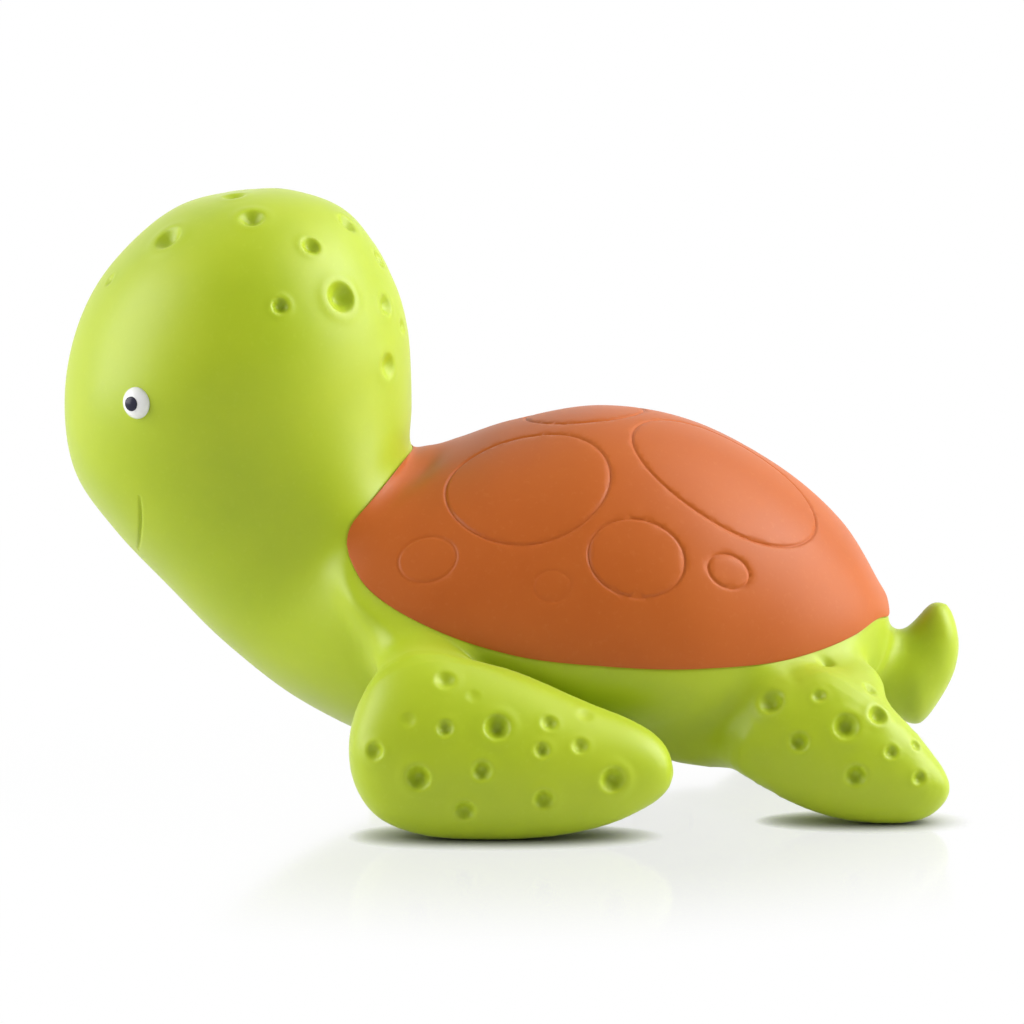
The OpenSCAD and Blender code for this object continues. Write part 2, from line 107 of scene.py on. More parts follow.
def mirrored(point: Vector) -> Vector:
    """The same point on the other side of the toy."""
    return Vector((point.x, -point.y, point.z))


def flipped_form(form: BMesh) -> BMesh:
    """Mirror image of a form across the toy's midline.

    Args:
        form: The form, which stays as it is.

    Returns:
        A new bmesh.
    """
    twin = form.copy()
    bmesh.ops.scale(twin, vec=(1, -1, 1), verts=twin.verts)
    bmesh.ops.recalc_face_normals(twin, faces=twin.faces)
    return twin


def joined(forms: Sequence[BMesh]) -> BMesh:
    """Put copies of several forms together.

    Args:
        forms: The forms, which stay as they are.

    Returns:
        One bmesh that holds them all.
    """
    whole = bmesh.new()
    for form in forms:
        mesh = bpy.data.meshes.new("form")
        form.to_mesh(mesh)
        whole.from_mesh(mesh)
        bpy.data.meshes.remove(mesh)
    return whole


def tree_of(form: BMesh) -> BVHTree:
    """Search tree over a form's faces, with its normals brought up to date."""
    form.normal_update()
    return BVHTree.FromBMesh(form)


def point_finder(points: Sequence[Vector]) -> KDTree:
    """Search tree over a row of points.

    Args:
        points: The points, which are found again by their place in the row.

    Returns:
        The balanced tree.
    """
    finder = KDTree(len(points))
    for index, point in enumerate(points):
        finder.insert(point, index)
    finder.balance()
    return finder


def with_modifier(form: BMesh, kind: str, other: BMesh | None = None, **settings: object) -> BMesh:
    """Run one modifier on a form and return the result.

    Args:
        form: The form, which is freed.
        kind: The modifier's type.
        other: A second form that the modifier works with, freed too.
        **settings: The modifier's own settings.

    Returns:
        A new bmesh with the modifier's result.
    """
    drafts = []
    for source in (form, other):
        if source is not None:
            mesh = bpy.data.meshes.new("draft")
            source.to_mesh(mesh)
            source.free()
            draft = bpy.data.objects.new("draft", mesh)
            bpy.context.scene.collection.objects.link(draft)
            drafts.append(draft)
    modifier = drafts[0].modifiers.new("step", kind)
    if other is not None:
        modifier.object = drafts[1]
    for name, value in settings.items():
        setattr(modifier, name, value)
    graph = bpy.context.evaluated_depsgraph_get()
    result = bpy.data.meshes.new_from_object(drafts[0].evaluated_get(graph))
    made = bmesh.new()
    made.from_mesh(result)
    bpy.data.meshes.remove(result)
    for draft in drafts:
        mesh = draft.data
        bpy.data.objects.remove(draft)
        bpy.data.meshes.remove(mesh)
    return made


def relaxed(form: BMesh, verts: Sequence[bmesh.types.BMVert], rounds: int, factor: float = 0.5) -> None:
    """Even out some vertices of a form over several rounds."""
    for _ in range(rounds):
        bmesh.ops.smooth_vert(form, verts=verts, factor=factor, use_axis_x=True, use_axis_y=True,
                              use_axis_z=True)


def refined(form: BMesh, points: Sequence[Vector], reach: float, rounds: int) -> None:
    """Split the edges of a form near marked points, so that small marks get enough faces.

    Args:
        form: The form to refine.
        points: The marked points.
        reach: How far from a marked point edges are split.
        rounds: How often each edge is halved.
    """
    relax_rounds = 2
    finder = point_finder(points)
    for _ in range(rounds):
        near = {vert for vert in form.verts if finder.find(vert.co)[2] < reach}
        edges = [edge for edge in form.edges if edge.verts[0] in near and edge.verts[1] in near]
        made = bmesh.ops.subdivide_edges(form, edges=edges, cuts=1, use_grid_fill=True, smooth=0)
        fresh = [item for item in made["geom_inner"] if isinstance(item, bmesh.types.BMVert)]
        relaxed(form, fresh, relax_rounds)


def bevelled(form: BMesh, width: float) -> None:
    """Round off the sharp edges of a form.

    Args:
        form: The form, with its normals up to date.
        width: How far the rounding reaches from an edge.
    """
    sharp = [edge for edge in form.edges if edge.calc_face_angle(0) > SHARP_ANGLE]
    bmesh.ops.bevel(form, geom=sharp, offset=width, offset_type="OFFSET", segments=3, profile=0.5,
                    affect="EDGES", material=-1, clamp_overlap=True)


def finished(name: str, form: BMesh, finish: "Finish") -> bpy.types.Object:
    """Turn a form in millimetres into a smooth-shaded piece in metres.

    Args:
        name: Name of the piece.
        form: Its shape, which is freed.
        finish: Its finish.

    Returns:
        The piece, at the origin and not yet riding on a body.
    """
    form.normal_update()
    for face in form.faces:
        face.smooth = True
    for edge in form.edges:
        edge.smooth = edge.calc_face_angle(0) < SHARP_ANGLE
    bmesh.ops.scale(form, vec=(MM, MM, MM), verts=form.verts)
    mesh = bpy.data.meshes.new(name)
    form.to_mesh(mesh)
    form.free()
    mesh.materials.append(finish.material())
    piece = bpy.data.objects.new(name, mesh)
    bpy.context.scene.collection.objects.link(piece)
    LOG.info("%s: %d faces", name, len(mesh.polygons))
    return piece


def turned(profile: Sequence[tuple[float, float]], steps: int, place: Matrix) -> BMesh:
    """Round form spun from a profile about the z axis.

    Args:
        profile: Radius and height of each point, from the axis at the bottom to the axis at the top.
        steps: Number of steps in the full turn.
        place: Where the form goes.

    Returns:
        A closed bmesh.
    """
    form = bmesh.new()
    points = [form.verts.new((radius, 0, height)) for radius, height in profile]
    edges = [form.edges.new(pair) for pair in zip(points, points[1:])]
    bmesh.ops.spin(form, geom=points + edges, cent=(0, 0, 0), axis=(0, 0, 1), angle=math.tau, steps=steps,
                   use_merge=True)
    bmesh.ops.remove_doubles(form, verts=form.verts, dist=WELD)
    bmesh.ops.recalc_face_normals(form, faces=form.faces)
    bmesh.ops.transform(form, matrix=place, verts=form.verts)
    return form


def rounded(corners: Sequence[tuple[float, float, float]], steps: int = 5) -> list[tuple[float, float]]:
    """Profile with rounded corners.

    Args:
        corners: Radius and height of each corner, and how far from it the rounding starts.
        steps: Number of steps round a corner.

    Returns:
        Radius and height of each point of the profile.
    """
    points: list[tuple[float, float]] = []
    for index, (across, up, radius) in enumerate(corners):
        if radius == 0:
            points.append((across, up))
            continue
        here = Vector((across, up))
        before = (Vector(corners[index - 1][:2]) - here).normalized() * radius
        after = (Vector(corners[index + 1][:2]) - here).normalized() * radius
        for step in range(steps + 1):
            share = step / steps
            bend = here + before * (1 - share) ** 2 + after * share ** 2
            points.append((bend.x, bend.y))
    return points


@dataclass(frozen=True)
class PhotoView:
    """Camera of the photograph, which also turns its pixels into rays."""

    lens: float = 135.0
    sensor: float = 36.0
    pixels: int = 1024
    distance: float = 512.0
    elevation: float = math.radians(8)
    aim: tuple[float, float, float] = (-0.27, 0.0, 36.2)
    nearest: float = 10.0

    @property
    def forward(self) -> Vector:
        """Direction of view."""
        return Vector((0, math.cos(self.elevation), -math.sin(self.elevation)))

    @property
    def eye(self) -> Vector:
        """Place of the camera."""
        return Vector(self.aim) - self.forward * self.distance

    def hit(self, tree: BVHTree, pixel: tuple[float, float]) -> tuple[Vector, Vector]:
        """Point and normal of a surface at a pixel of the photograph.

        Args:
            tree: The surface.
            pixel: The pixel, from the top left corner.

        Returns:
            The point that the camera sees there and the surface's normal.
        """
        up = Vector((0, math.sin(self.elevation), math.cos(self.elevation)))
        focal = self.lens / self.sensor * self.pixels
        ray = self.forward * focal + Vector((1, 0, 0)) * (pixel[0] - self.pixels / 2)
        ray += up * (self.pixels / 2 - pixel[1])
        point, normal, _, _ = tree.ray_cast(self.eye, ray.normalized())
        if point is None:
            raise ValueError(f"no surface at pixel {pixel}")
        return point, normal

    def build(self) -> None:
        """Make the camera and use it."""
        data = bpy.data.cameras.new("photo_view")
        data.lens = self.lens
        data.sensor_width = self.sensor
        data.clip_start = self.nearest * MM
        camera = bpy.data.objects.new("photo_view", data)
        camera.location = self.eye * MM
        camera.rotation_euler = (math.pi / 2 - self.elevation, 0, 0)
        bpy.context.scene.collection.objects.link(camera)
        bpy.context.scene.camera = camera


class NodeTree:
    """Short way to place and link shader nodes."""

    def __init__(self, tree: bpy.types.NodeTree) -> None:
        """Keep the tree that the nodes go into."""
        self.tree = tree

    def add(self, kind: str, links: dict[str | int, object] | None = None,
            **settings: object) -> bpy.types.Node:
        """Place a node.

        Args:
            kind: The node's type without its prefix.
            links: Inputs by name or place, each a value or the output that feeds it.
            **settings: Other settings of the node.

        Returns:
            The new node.
        """
        node = self.tree.nodes.new(kind if kind.startswith("NodeGroup") else "ShaderNode" + kind)
        for name, value in settings.items():
            setattr(node, name, value)
        for name, value in (links or {}).items():
            if isinstance(value, bpy.types.NodeSocket):
                self.tree.links.new(value, node.inputs[name])
            else:
                node.inputs[name].default_value = value
        return node

    def math(self, operation: str, first: object, second: object) -> bpy.types.NodeSocket:
        """Place a Math node and return its output."""
        return self.add("Math", {0: first, 1: second}, operation=operation).outputs[0]

    def noise(self, place: bpy.types.NodeSocket, scale: bpy.types.NodeSocket, detail: float,
              roughness: float = 0.5) -> bpy.types.NodeSocket:
        """Place a noise and return its value."""
        links = {"Vector": place, "Scale": scale, "Detail": detail, "Roughness": roughness}
        return self.add("TexNoise", links).outputs["Fac"]

    def spread(self, value: object, span: tuple[float, float] = (0.0, 1.0),
               to: tuple[object, object] = (0.0, 1.0), kind: str = "LINEAR") -> bpy.types.NodeSocket:
        """Place a node that maps a value from one range to another.

        Args:
            value: The value or the output that gives it.
            span: Range that the value comes from.
            to: What it becomes at the two ends of that range.
            kind: How it changes between them.

        Returns:
            The mapped value.
        """
        links = {"Value": value, "From Min": span[0], "From Max": span[1], "To Min": to[0], "To Max": to[1]}
        return self.add("MapRange", links, interpolation_type=kind).outputs["Result"]


def node_group(name: str, inputs: Sequence[tuple[str, float]], outputs: Sequence[str],
               fill: Callable[[NodeTree, bpy.types.Node, bpy.types.Node], None]) -> bpy.types.NodeTree:
    """Shared shader effect, built once and then found by its name.

    Args:
        name: Name of the group.
        inputs: Name and default of each input value.
        outputs: Names of its output values.
        fill: Places the nodes between the group's input and output.

    Returns:
        The node group.
    """
    found = bpy.data.node_groups.get(name)
    if found:
        return found
    group = bpy.data.node_groups.new(name, "ShaderNodeTree")
    group.interface.new_socket("Place", in_out="INPUT", socket_type="NodeSocketVector")
    for label, value in inputs:
        socket = group.interface.new_socket(label, in_out="INPUT", socket_type="NodeSocketFloat")
        socket.default_value = value
    for label in outputs:
        group.interface.new_socket(label, in_out="OUTPUT", socket_type="NodeSocketFloat")
    nodes = NodeTree(group)
    fill(nodes, nodes.add("NodeGroupInput"), nodes.add("NodeGroupOutput"))
    return group


def mottle_group() -> bpy.types.NodeTree:
    """Cloudy unevenness of a moulded or painted skin, and the fine specks in it.

    Returns:
        The node group.
    """
    cloud_span = (0.3, 0.7)
    speck_span = (0.58, 0.78)

    def fill(nodes: NodeTree, given: bpy.types.Node, made: bpy.types.Node) -> None:
        """Place the clouds and the specks.

        Args:
            nodes: The group's nodes.
            given: Its input node.
            made: Its output node.
        """
        place = given.outputs["Place"]
        clouds = nodes.noise(place, given.outputs["Cloud Scale"], detail=4.0, roughness=0.55)
        specks = nodes.noise(place, given.outputs["Speck Scale"], detail=2.0, roughness=0.6)
        nodes.tree.links.new(nodes.spread(clouds, cloud_span), made.inputs["Clouds"])
        nodes.tree.links.new(nodes.spread(specks, speck_span), made.inputs["Specks"])

    return node_group("skin_mottle", [("Cloud Scale", 60.0), ("Speck Scale", 900.0)], ["Clouds", "Specks"],
                      fill)


def grain_group() -> bpy.types.NodeTree:
    """Height of the fine mould texture and of the soft waves under it.

    Returns:
        The node group.
    """

    def fill(nodes: NodeTree, given: bpy.types.Node, made: bpy.types.Node) -> None:
        """Place the fine grain and the waves.

        Args:
            nodes: The group's nodes.
            given: Its input node.
            made: Its output node.
        """
        place = given.outputs["Place"]
        fine = nodes.noise(place, given.outputs["Grain Scale"], detail=3.0, roughness=0.6)
        waves = nodes.noise(place, given.outputs["Wave Scale"], detail=1.0)
        share = nodes.math("MULTIPLY", fine, given.outputs["Grain Share"])
        nodes.tree.links.new(nodes.math("ADD", share, waves), made.inputs["Height"])

    return node_group("mould_grain", [("Grain Scale", 2600.0), ("Wave Scale", 120.0), ("Grain Share", 0.3)],
                      ["Height"], fill)


@dataclass(frozen=True)
class Finish:
    """Finish of a piece: its colours, its gloss and the texture of its surface.

    The pale colour lies in the clouds of the skin, the deep one between them, and the speck colour in fine
    dots.
    """

    name: str
    slot: Slot
    deep: Colour
    pale: Colour
    speck: Colour
    gloss_low: float
    gloss_high: float
    cloud_scale: float = 70.0
    speck_scale: float = 1400.0
    speck_share: float = 0.25
    grain_scale: float = 3200.0
    wave_scale: float = 160.0
    bump: float = 0.12
    bump_depth: float = 0.00006
    metallic: float = 0.0
    coat: float = 0.0
    coat_roughness: float = 0.15
    specular: float = 0.5
    sheen: float = 0.0
    sheen_roughness: float = 0.45
    subsurface: float = 0.0
    subsurface_radius: tuple[float, float, float] = (0.6, 1.0, 0.2)
    subsurface_scale: float = 0.0015

    def material(self) -> bpy.types.Material:
        """Build the finish's material, or find it if it is there.

        Returns:
            The material.
        """
        found = bpy.data.materials.get(self.name)
        if found:
            return found
        material = bpy.data.materials.new(self.name)
        material.use_nodes = True
        nodes = NodeTree(material.node_tree)
        shader = material.node_tree.nodes["Principled BSDF"]
        place = nodes.add("TexCoord").outputs["Object"]
        mottle = nodes.add("Group", node_tree=mottle_group())
        grain = nodes.add("Group", node_tree=grain_group())
        for group, values in ((mottle, {"Cloud Scale": self.cloud_scale, "Speck Scale": self.speck_scale}),
                              (grain, {"Grain Scale": self.grain_scale, "Wave Scale": self.wave_scale})):
            material.node_tree.links.new(place, group.inputs["Place"])
            for label, value in values.items():
                group.inputs[label].default_value = value
        clouds = mottle.outputs["Clouds"]
        base = nodes.add("Mix", {0: clouds, MIX_A: (*self.deep, 1), MIX_B: (*self.pale, 1)}, data_type="RGBA")
        faint = nodes.math("MULTIPLY", mottle.outputs["Specks"], self.speck_share)
        dotted = nodes.add("Mix", {0: faint, MIX_A: base.outputs[MIX_OUT], MIX_B: (*self.speck, 1)},
                           data_type="RGBA")
        gloss = nodes.spread(clouds, to=(self.gloss_low, self.gloss_high))
        bump = nodes.add("Bump", {"Strength": self.bump, "Distance": self.bump_depth,
                                  "Height": grain.outputs["Height"]})
        for output, label in ((dotted.outputs[MIX_OUT], "Base Color"), (gloss, "Roughness"),
                              (bump.outputs["Normal"], "Normal")):
            material.node_tree.links.new(output, shader.inputs[label])
        constants = {"Metallic": self.metallic, "Specular IOR Level": self.specular,
                     "Coat Weight": self.coat, "Coat Roughness": self.coat_roughness,
                     "Sheen Weight": self.sheen, "Sheen Roughness": self.sheen_roughness,
                     "Subsurface Weight": self.subsurface, "Subsurface Radius": self.subsurface_radius,
                     "Subsurface Scale": self.subsurface_scale}
        for label, value in constants.items():
            shader.inputs[label].default_value = value
        return material


GREEN_RUBBER = Finish("green_rubber_skin", Slot.GREEN, deep=(0.365, 0.475, 0.004), pale=(0.41, 0.515, 0.008),
                      speck=(0.45, 0.56, 0.03), gloss_low=0.38, gloss_high=0.48, subsurface=0.1, specular=0.4,
                      sheen=0.1)
ORANGE_RUBBER = Finish("orange_rubber_skin", Slot.ORANGE, deep=(0.44, 0.095, 0.009),
                       pale=(0.478, 0.111, 0.013), speck=(0.54, 0.16, 0.035), gloss_low=0.38, gloss_high=0.48,
                       subsurface=0.06, specular=0.22, sheen=0.05)
EYE_WHITE = Finish("eye_white_gloss", Slot.WHITE, deep=(0.84, 0.84, 0.83), pale=(0.88, 0.88, 0.87),
                   speck=(0.78, 0.79, 0.82), gloss_low=0.16, gloss_high=0.22, coat=0.4, bump=0.04)
PUPIL_NAVY = Finish("pupil_navy_gloss", Slot.NAVY, deep=(0.012, 0.012, 0.028), pale=(0.02, 0.02, 0.042),
                    speck=(0.03, 0.03, 0.06), gloss_low=0.22, gloss_high=0.3, bump=0.04, specular=0.25)
SQUEAKER_PLASTIC = Finish("squeaker_moulding", Slot.PLASTIC, deep=(0.72, 0.75, 0.74), pale=(0.79, 0.81, 0.8),
                          speck=(0.6, 0.64, 0.65), gloss_low=0.34, gloss_high=0.44, cloud_scale=240.0)
REED_BRASS = Finish("reed_rolled_brass", Slot.BRASS, deep=(0.5, 0.3, 0.07), pale=(0.66, 0.43, 0.12),
                    speck=(0.3, 0.18, 0.06), gloss_low=0.24, gloss_high=0.38, cloud_scale=600.0, metallic=1.0)


class Rib(NamedTuple):
    """Cross-section of a moulded form.

    It runs from a top point to a low point in the side view and is widest at a share of its height.
    Its upper half is an ellipse where crown is 1 and its lower half where square is 1;
    less makes a half fuller, and more makes it slope to a soft ridge along the widest line.
    """

    top_x: float
    top_z: float
    low_x: float
    low_z: float
    half_width: float
    widest: float
    square: float = 1.0
    crown: float = 1.0

    def point(self, angle: float) -> Vector:
        """Point of the rib's outline.

        Args:
            angle: Where the point lies, as an angle from the rib's top.

        Returns:
            The point.
        """
        up = math.cos(angle)
        side = math.sin(angle)
        along = self.widest + up * (1 - self.widest if up > 0 else self.widest)
        out = math.copysign(abs(side) ** (self.crown if up > 0 else self.square), side)
        return Vector((self.low_x + (self.top_x - self.low_x) * along, max(self.half_width, 0) * out,
                       self.low_z + (self.top_z - self.low_z) * along))


class Loft:
    """Smooth form through a row of ribs."""

    def __init__(self, ribs: Sequence[Rib]) -> None:
        """Keep the ribs, with one more at each end to lead the curve out."""
        self.rows = [self.beyond(ribs[0], ribs[1]), *ribs, self.beyond(ribs[-1], ribs[-2])]
        self.last = len(ribs) - 1

    @staticmethod
    def beyond(end: Rib, inner: Rib) -> Rib:
        """Rib past an end, on the far side of the tip where the end is a point, so that the tip is round.

        Args:
            end: The first or the last rib.
            inner: The rib beside it.

        Returns:
            The rib that leads the curve out.
        """
        if end.half_width == 0:
            return inner._replace(top_x=inner.low_x, top_z=inner.low_z, low_x=inner.top_x, low_z=inner.top_z,
                                  half_width=-inner.half_width, widest=1 - inner.widest)
        return Rib(*(2 * a - b for a, b in zip(end, inner)))

    def rib(self, place: float) -> Rib:
        """Rib between the given ones, on a smooth curve through them.

        Args:
            place: Where it lies, counted in ribs from the first.

        Returns:
            The rib.
        """
        index = min(int(place), self.last - 1)
        t = place - index
        return Rib(*((2 * b + (c - a) * t + (2 * a - 5 * b + 4 * c - d) * t ** 2
                      + (3 * b - a - 3 * c + d) * t ** 3) / 2
                     for a, b, c, d in zip(*self.rows[index:index + 4])))

    def closed(self, rows: int, columns: int) -> BMesh:
        """Closed form whose two poles are the first and the last rib.

        Args:
            rows: Number of rows between the poles.
            columns: Number of columns round the form.

        Returns:
            A bmesh that started as a sphere and whose rows lie on the ribs.
        """
        form = bmesh.new()
        bmesh.ops.create_uvsphere(form, u_segments=columns, v_segments=rows, radius=1)
        ribs: dict[float, Rib] = {}
        for vert in form.verts:
            share = round(math.acos(max(-1.0, min(1.0, vert.co.z))) / math.pi, 5)
            if share not in ribs:
                ribs[share] = self.rib(self.last * share)
            vert.co = ribs[share].point(math.atan2(vert.co.y, vert.co.x))
        bmesh.ops.recalc_face_normals(form, faces=form.faces)
        return form


def ribs_of(shares: Sequence[Sequence[float]], origin: tuple[float, float], size: tuple[float, float, float],
            square: float = 1.0, crown: float = 1.0) -> list[Rib]:
    """Ribs from shares of a form's size.

    Args:
        shares: For each rib, its top and its low point, its width and the height of its widest line.
        origin: Where x and z are counted from.
        size: Length, height and width that the shares belong to.
        square: Fullness of the lower half of each rib.
        crown: Fullness of its upper half.

    Returns:
        The ribs.
    """
    return [Rib(origin[0] + s[0] * size[0], origin[1] + s[1] * size[1], origin[0] + s[2] * size[0],
                origin[1] + s[3] * size[1], s[4] * size[2] / 2, s[5], square, crown) for s in shares]


@dataclass
class Torso:
    """Head and body as one moulded form, with the sizes and ribs of the solids."""

    length: float = 88.0
    height: float = 45.0
    width: float = 59.0
    clearance: float = 5.4
    head_length: float = 46.0
    head_height: float = 47.3
    head_width: float = 45.0
    head_origin: tuple[float, float] = (-25.7, 32.24)
    belly_square: float = 0.75
    chest_squares: tuple[float, ...] = (0.95, 1.0, 0.88)
    neck_pin_share: float = 0.36
    neck_bend: float = 22.0
    rows: int = 260
    columns: int = 220
    body_shares: ClassVar = (
        (-0.157, 0.88, -0.434, 0.298, 0.68, 0.649), (-0.127, 0.88, -0.317, 0.126, 0.79, 0.55),
        (-0.08, 0.902, -0.17, 0.009, 0.89, 0.485), (0, 0.953, 0, 0, 0.97, 0.385),
        (0.13, 0.996, 0.136, 0, 1, 0.34), (0.266, 0.953, 0.273, 0.011, 0.95, 0.335),
        (0.398, 0.82, 0.409, 0.062, 0.78, 0.362), (0.494, 0.658, 0.511, 0.151, 0.54, 0.45),
        (0.55, 0.484, 0.562, 0.253, 0.27, 0.635), (0.567, 0.405, 0.567, 0.405, 0, 0.5))
    head_shares: ClassVar = (
        (0.263, 0.375, -0.439, -0.12, 0.9, 0.56), (0.261, 0.502, -0.599, 0.049, 0.955, 0.5),
        (0.252, 0.608, -0.711, 0.217, 1, 0.5), (0.222, 0.72, -0.735, 0.43, 1, 0.5),
        (0.154, 0.849, -0.687, 0.64, 0.88, 0.5), (0.072, 0.94, -0.58, 0.809, 0.675, 0.5),
        (-0.045, 0.987, -0.397, 0.954, 0.365, 0.5), (-0.17, 0.998, -0.17, 0.998, 0, 0.5))

    def __post_init__(self) -> None:
        """Work out the ribs and the neck seam."""
        size = (self.length, self.height, self.width)
        self.body_ribs = ribs_of(self.body_shares, (0, self.clearance), size, self.belly_square)
        for index, square in enumerate(self.chest_squares):
            self.body_ribs[index] = self.body_ribs[index]._replace(square=square)
        seam = self.body_ribs[0]
        self.seam_top = Vector((seam.top_x, 0, seam.top_z))
        self.throat = Vector((seam.low_x, 0, seam.low_z))
        along = (self.seam_top - self.throat).normalized()
        self.neck_up = Vector((-along.z, 0, along.x))
        head_size = (self.head_length, self.head_height, self.head_width)
        self.head_ribs = ribs_of(self.head_shares, self.head_origin, head_size)
        self.loft = Loft([*reversed(self.head_ribs), *self.body_ribs])
        self.seam_place = len(self.head_ribs)

    def form(self) -> BMesh:
        """Closed form from the top of the head, through the neck seam, to the rear of the body."""
        return self.loft.closed(self.rows, self.columns)

    def above_seam(self, point: Vector) -> float:
        """Distance of a point above the neck seam, on the head's side."""
        return (point - self.throat).dot(self.neck_up)

    def dress_head(self, piece: bpy.types.Object) -> None:
        """Bake the head's place into its skin, and let it stand for its solid.

        Args:
            piece: The head's skin.
        """
        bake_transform(piece)
        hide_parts("head")


class Dimple(NamedTuple):
    """Round hollow in the skin: the pixel of its middle, its radius and its depth."""

    across: float
    down: float
    radius: float
    depth: float


def dimpled(form: BMesh, finder: KDTree, middle: Vector, normal: Vector, dimple: Dimple) -> None:
    """Sink a round hollow with a faint raised rim into a form.

    Args:
        form: The form, with fine enough faces.
        finder: Its vertices.
        middle: Middle of the hollow.
        normal: Direction out of the skin there.
        dimple: Size of the hollow.
    """
    rim_height = 0.09 * dimple.depth
    rim_place = 1.25
    rim_width = 0.4
    reach = 2.4 * dimple.radius
    bowl_power = 1.5
    for _, index, _ in finder.find_range(middle, reach):
        vert = form.verts[index]
        away = vert.co - middle
        share = (away - normal * away.dot(normal)).length / dimple.radius
        bowl = dimple.depth * max(0.0, 1 - share ** 2) ** bowl_power
        vert.co += normal * (rim_height * bell(share - rim_place, rim_width) - bowl)


def engraved(form: BMesh, marks: Sequence[tuple[Vector, float]], half_width: float) -> None:
    """Cut a line into a form, or raise a ridge on it.

    Args:
        form: The form, with fine enough faces.
        marks: Dense row of points, each with the depth there, which is below zero for a ridge.
        half_width: How fast the line runs out to its sides.
    """
    reach = 3 * half_width
    finder = point_finder([point for point, _ in marks])
    form.normal_update()
    found = [(vert, *finder.find(vert.co)[1:]) for vert in form.verts]
    for vert, index, away in found:
        if away < reach:
            vert.co -= vert.normal * marks[index][1] * bell(away, half_width)


class Lobe(NamedTuple):
    """Long rounded swelling between two points of the left side, with a radius across."""

    start: tuple[float, float, float]
    end: tuple[float, float, float]
    radius: float

    def form(self) -> BMesh:
        """Closed swelling.

        Returns:
            A bmesh on the left side.
        """
        form = bmesh.new()
        start, end = Vector(self.start), Vector(self.end)
        along = end - start
        place = Matrix.Translation((start + end) / 2) @ along.to_track_quat("X", "Z").to_matrix().to_4x4()
        place @= Matrix.Diagonal((along.length / 2, self.radius, self.radius, 1))
        bmesh.ops.create_icosphere(form, subdivisions=5, radius=1, matrix=place)
        return form


@dataclass
class Flipper:
    """One flipper: a leaned, rounded paddle that flows into the body at its root."""

    pair: Pair
    side: Side
    length: float
    height: float
    thick: float
    lead: float
    reach: float
    lean: float
    shares: tuple[tuple[float, ...], ...]
    bend_start: tuple[float, float, float]
    bend_run: tuple[float, float, float]
    lobes: tuple[Lobe, ...]
    dimples: tuple[Dimple, ...]
    # Behind this place, and in full after the run, the paddle is held a gap away from the trunk
    gap_from: float
    gap_run: float = 5.0
    gap: float = 1.3
    sole_flat: float = 0.2
    ridge: float = 1.25
    rows: int = 100
    columns: int = 84

    @property
    def body(self) -> str:
        """Name of the body and of the solid that it stands for."""
        return f"{self.pair.value}_flipper_{self.side.name.lower()}"

    def form(self, trunk: BVHTree) -> BMesh:
        """Closed paddle on the left side, held clear of the trunk behind its root.

        Args:
            trunk: The trunk's skin.

        Returns:
            A bmesh of the left flipper.
        """
        size = (self.length, self.height, self.thick)
        loft = Loft(ribs_of(self.shares, (0, 0), size, self.ridge, self.ridge))
        form = loft.closed(self.rows, self.columns)
        lean = math.radians(self.lean)
        bmesh.ops.rotate(form, cent=(0, 0, 0), matrix=Matrix.Rotation(-lean, 3, "X"), verts=form.verts)
        low = min(vert.co.z for vert in form.verts)
        aside = -self.reach - self.height / 2 * math.sin(lean)
        bmesh.ops.translate(form, vec=(self.lead, aside, -low - self.sole_flat), verts=form.verts)
        for vert in form.verts:
            point, normal, _, _ = trunk.find_nearest(vert.co)
            short = self.gap - (vert.co - point).dot(normal)
            if short > 0:
                vert.co += normal * short * eased(vert.co.x, self.gap_from, self.gap_from + self.gap_run)
        return form

    def dress(self, piece: bpy.types.Object, border: Sequence[Vector]) -> None:
        """Log how far the border reaches past the start of the bend, bake the piece's place into its skin,
        and let it stand for its solid.

        Args:
            piece: The flipper's skin.
            border: The points along which it joins the trunk.
        """
        start = Vector(self.bend_start)
        run = Vector(self.bend_run)
        if self.side is Side.RIGHT:
            start, run = mirrored(start), mirrored(run)
        ahead = run.normalized()
        late = max((point - start).dot(ahead) for point in border)
        LOG.info("%s: border reaches %.1f mm past the start of its bend", self.body, late)
        start += ahead * max(0.0, late)
        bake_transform(piece)
        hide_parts(self.body)


FRONT_SHARES = (
    (0, 0.48, 0, 0.48, 0, 0.5), (0.025, 0.68, 0.02, 0.28, 0.55, 0.5), (0.095, 0.9, 0.095, 0.115, 0.86, 0.5),
    (0.21, 1, 0.24, 0.025, 1, 0.5), (0.363, 0.942, 0.424, 0, 1, 0.5), (0.56, 0.83, 0.608, 0.018, 0.94, 0.5),
    (0.743, 0.7, 0.79, 0.08, 0.8, 0.5), (0.89, 0.6, 0.926, 0.18, 0.6, 0.5),
    (0.97, 0.5, 0.988, 0.27, 0.36, 0.5), (1, 0.376, 1, 0.376, 0, 0.5))
REAR_SHARES = (
    (0, 0.43, 0, 0.43, 0, 0.5), (0.1, 0.74, 0.074, 0.31, 0.55, 0.5), (0.242, 0.916, 0.242, 0.187, 0.83, 0.5),
    (0.426, 1, 0.443, 0.064, 1, 0.5), (0.61, 0.936, 0.644, 0, 1, 0.5), (0.762, 0.75, 0.812, 0, 0.85, 0.5),
    (0.889, 0.522, 0.926, 0.06, 0.62, 0.5), (0.973, 0.355, 0.99, 0.158, 0.35, 0.5),
    (1, 0.25, 1, 0.25, 0, 0.5))
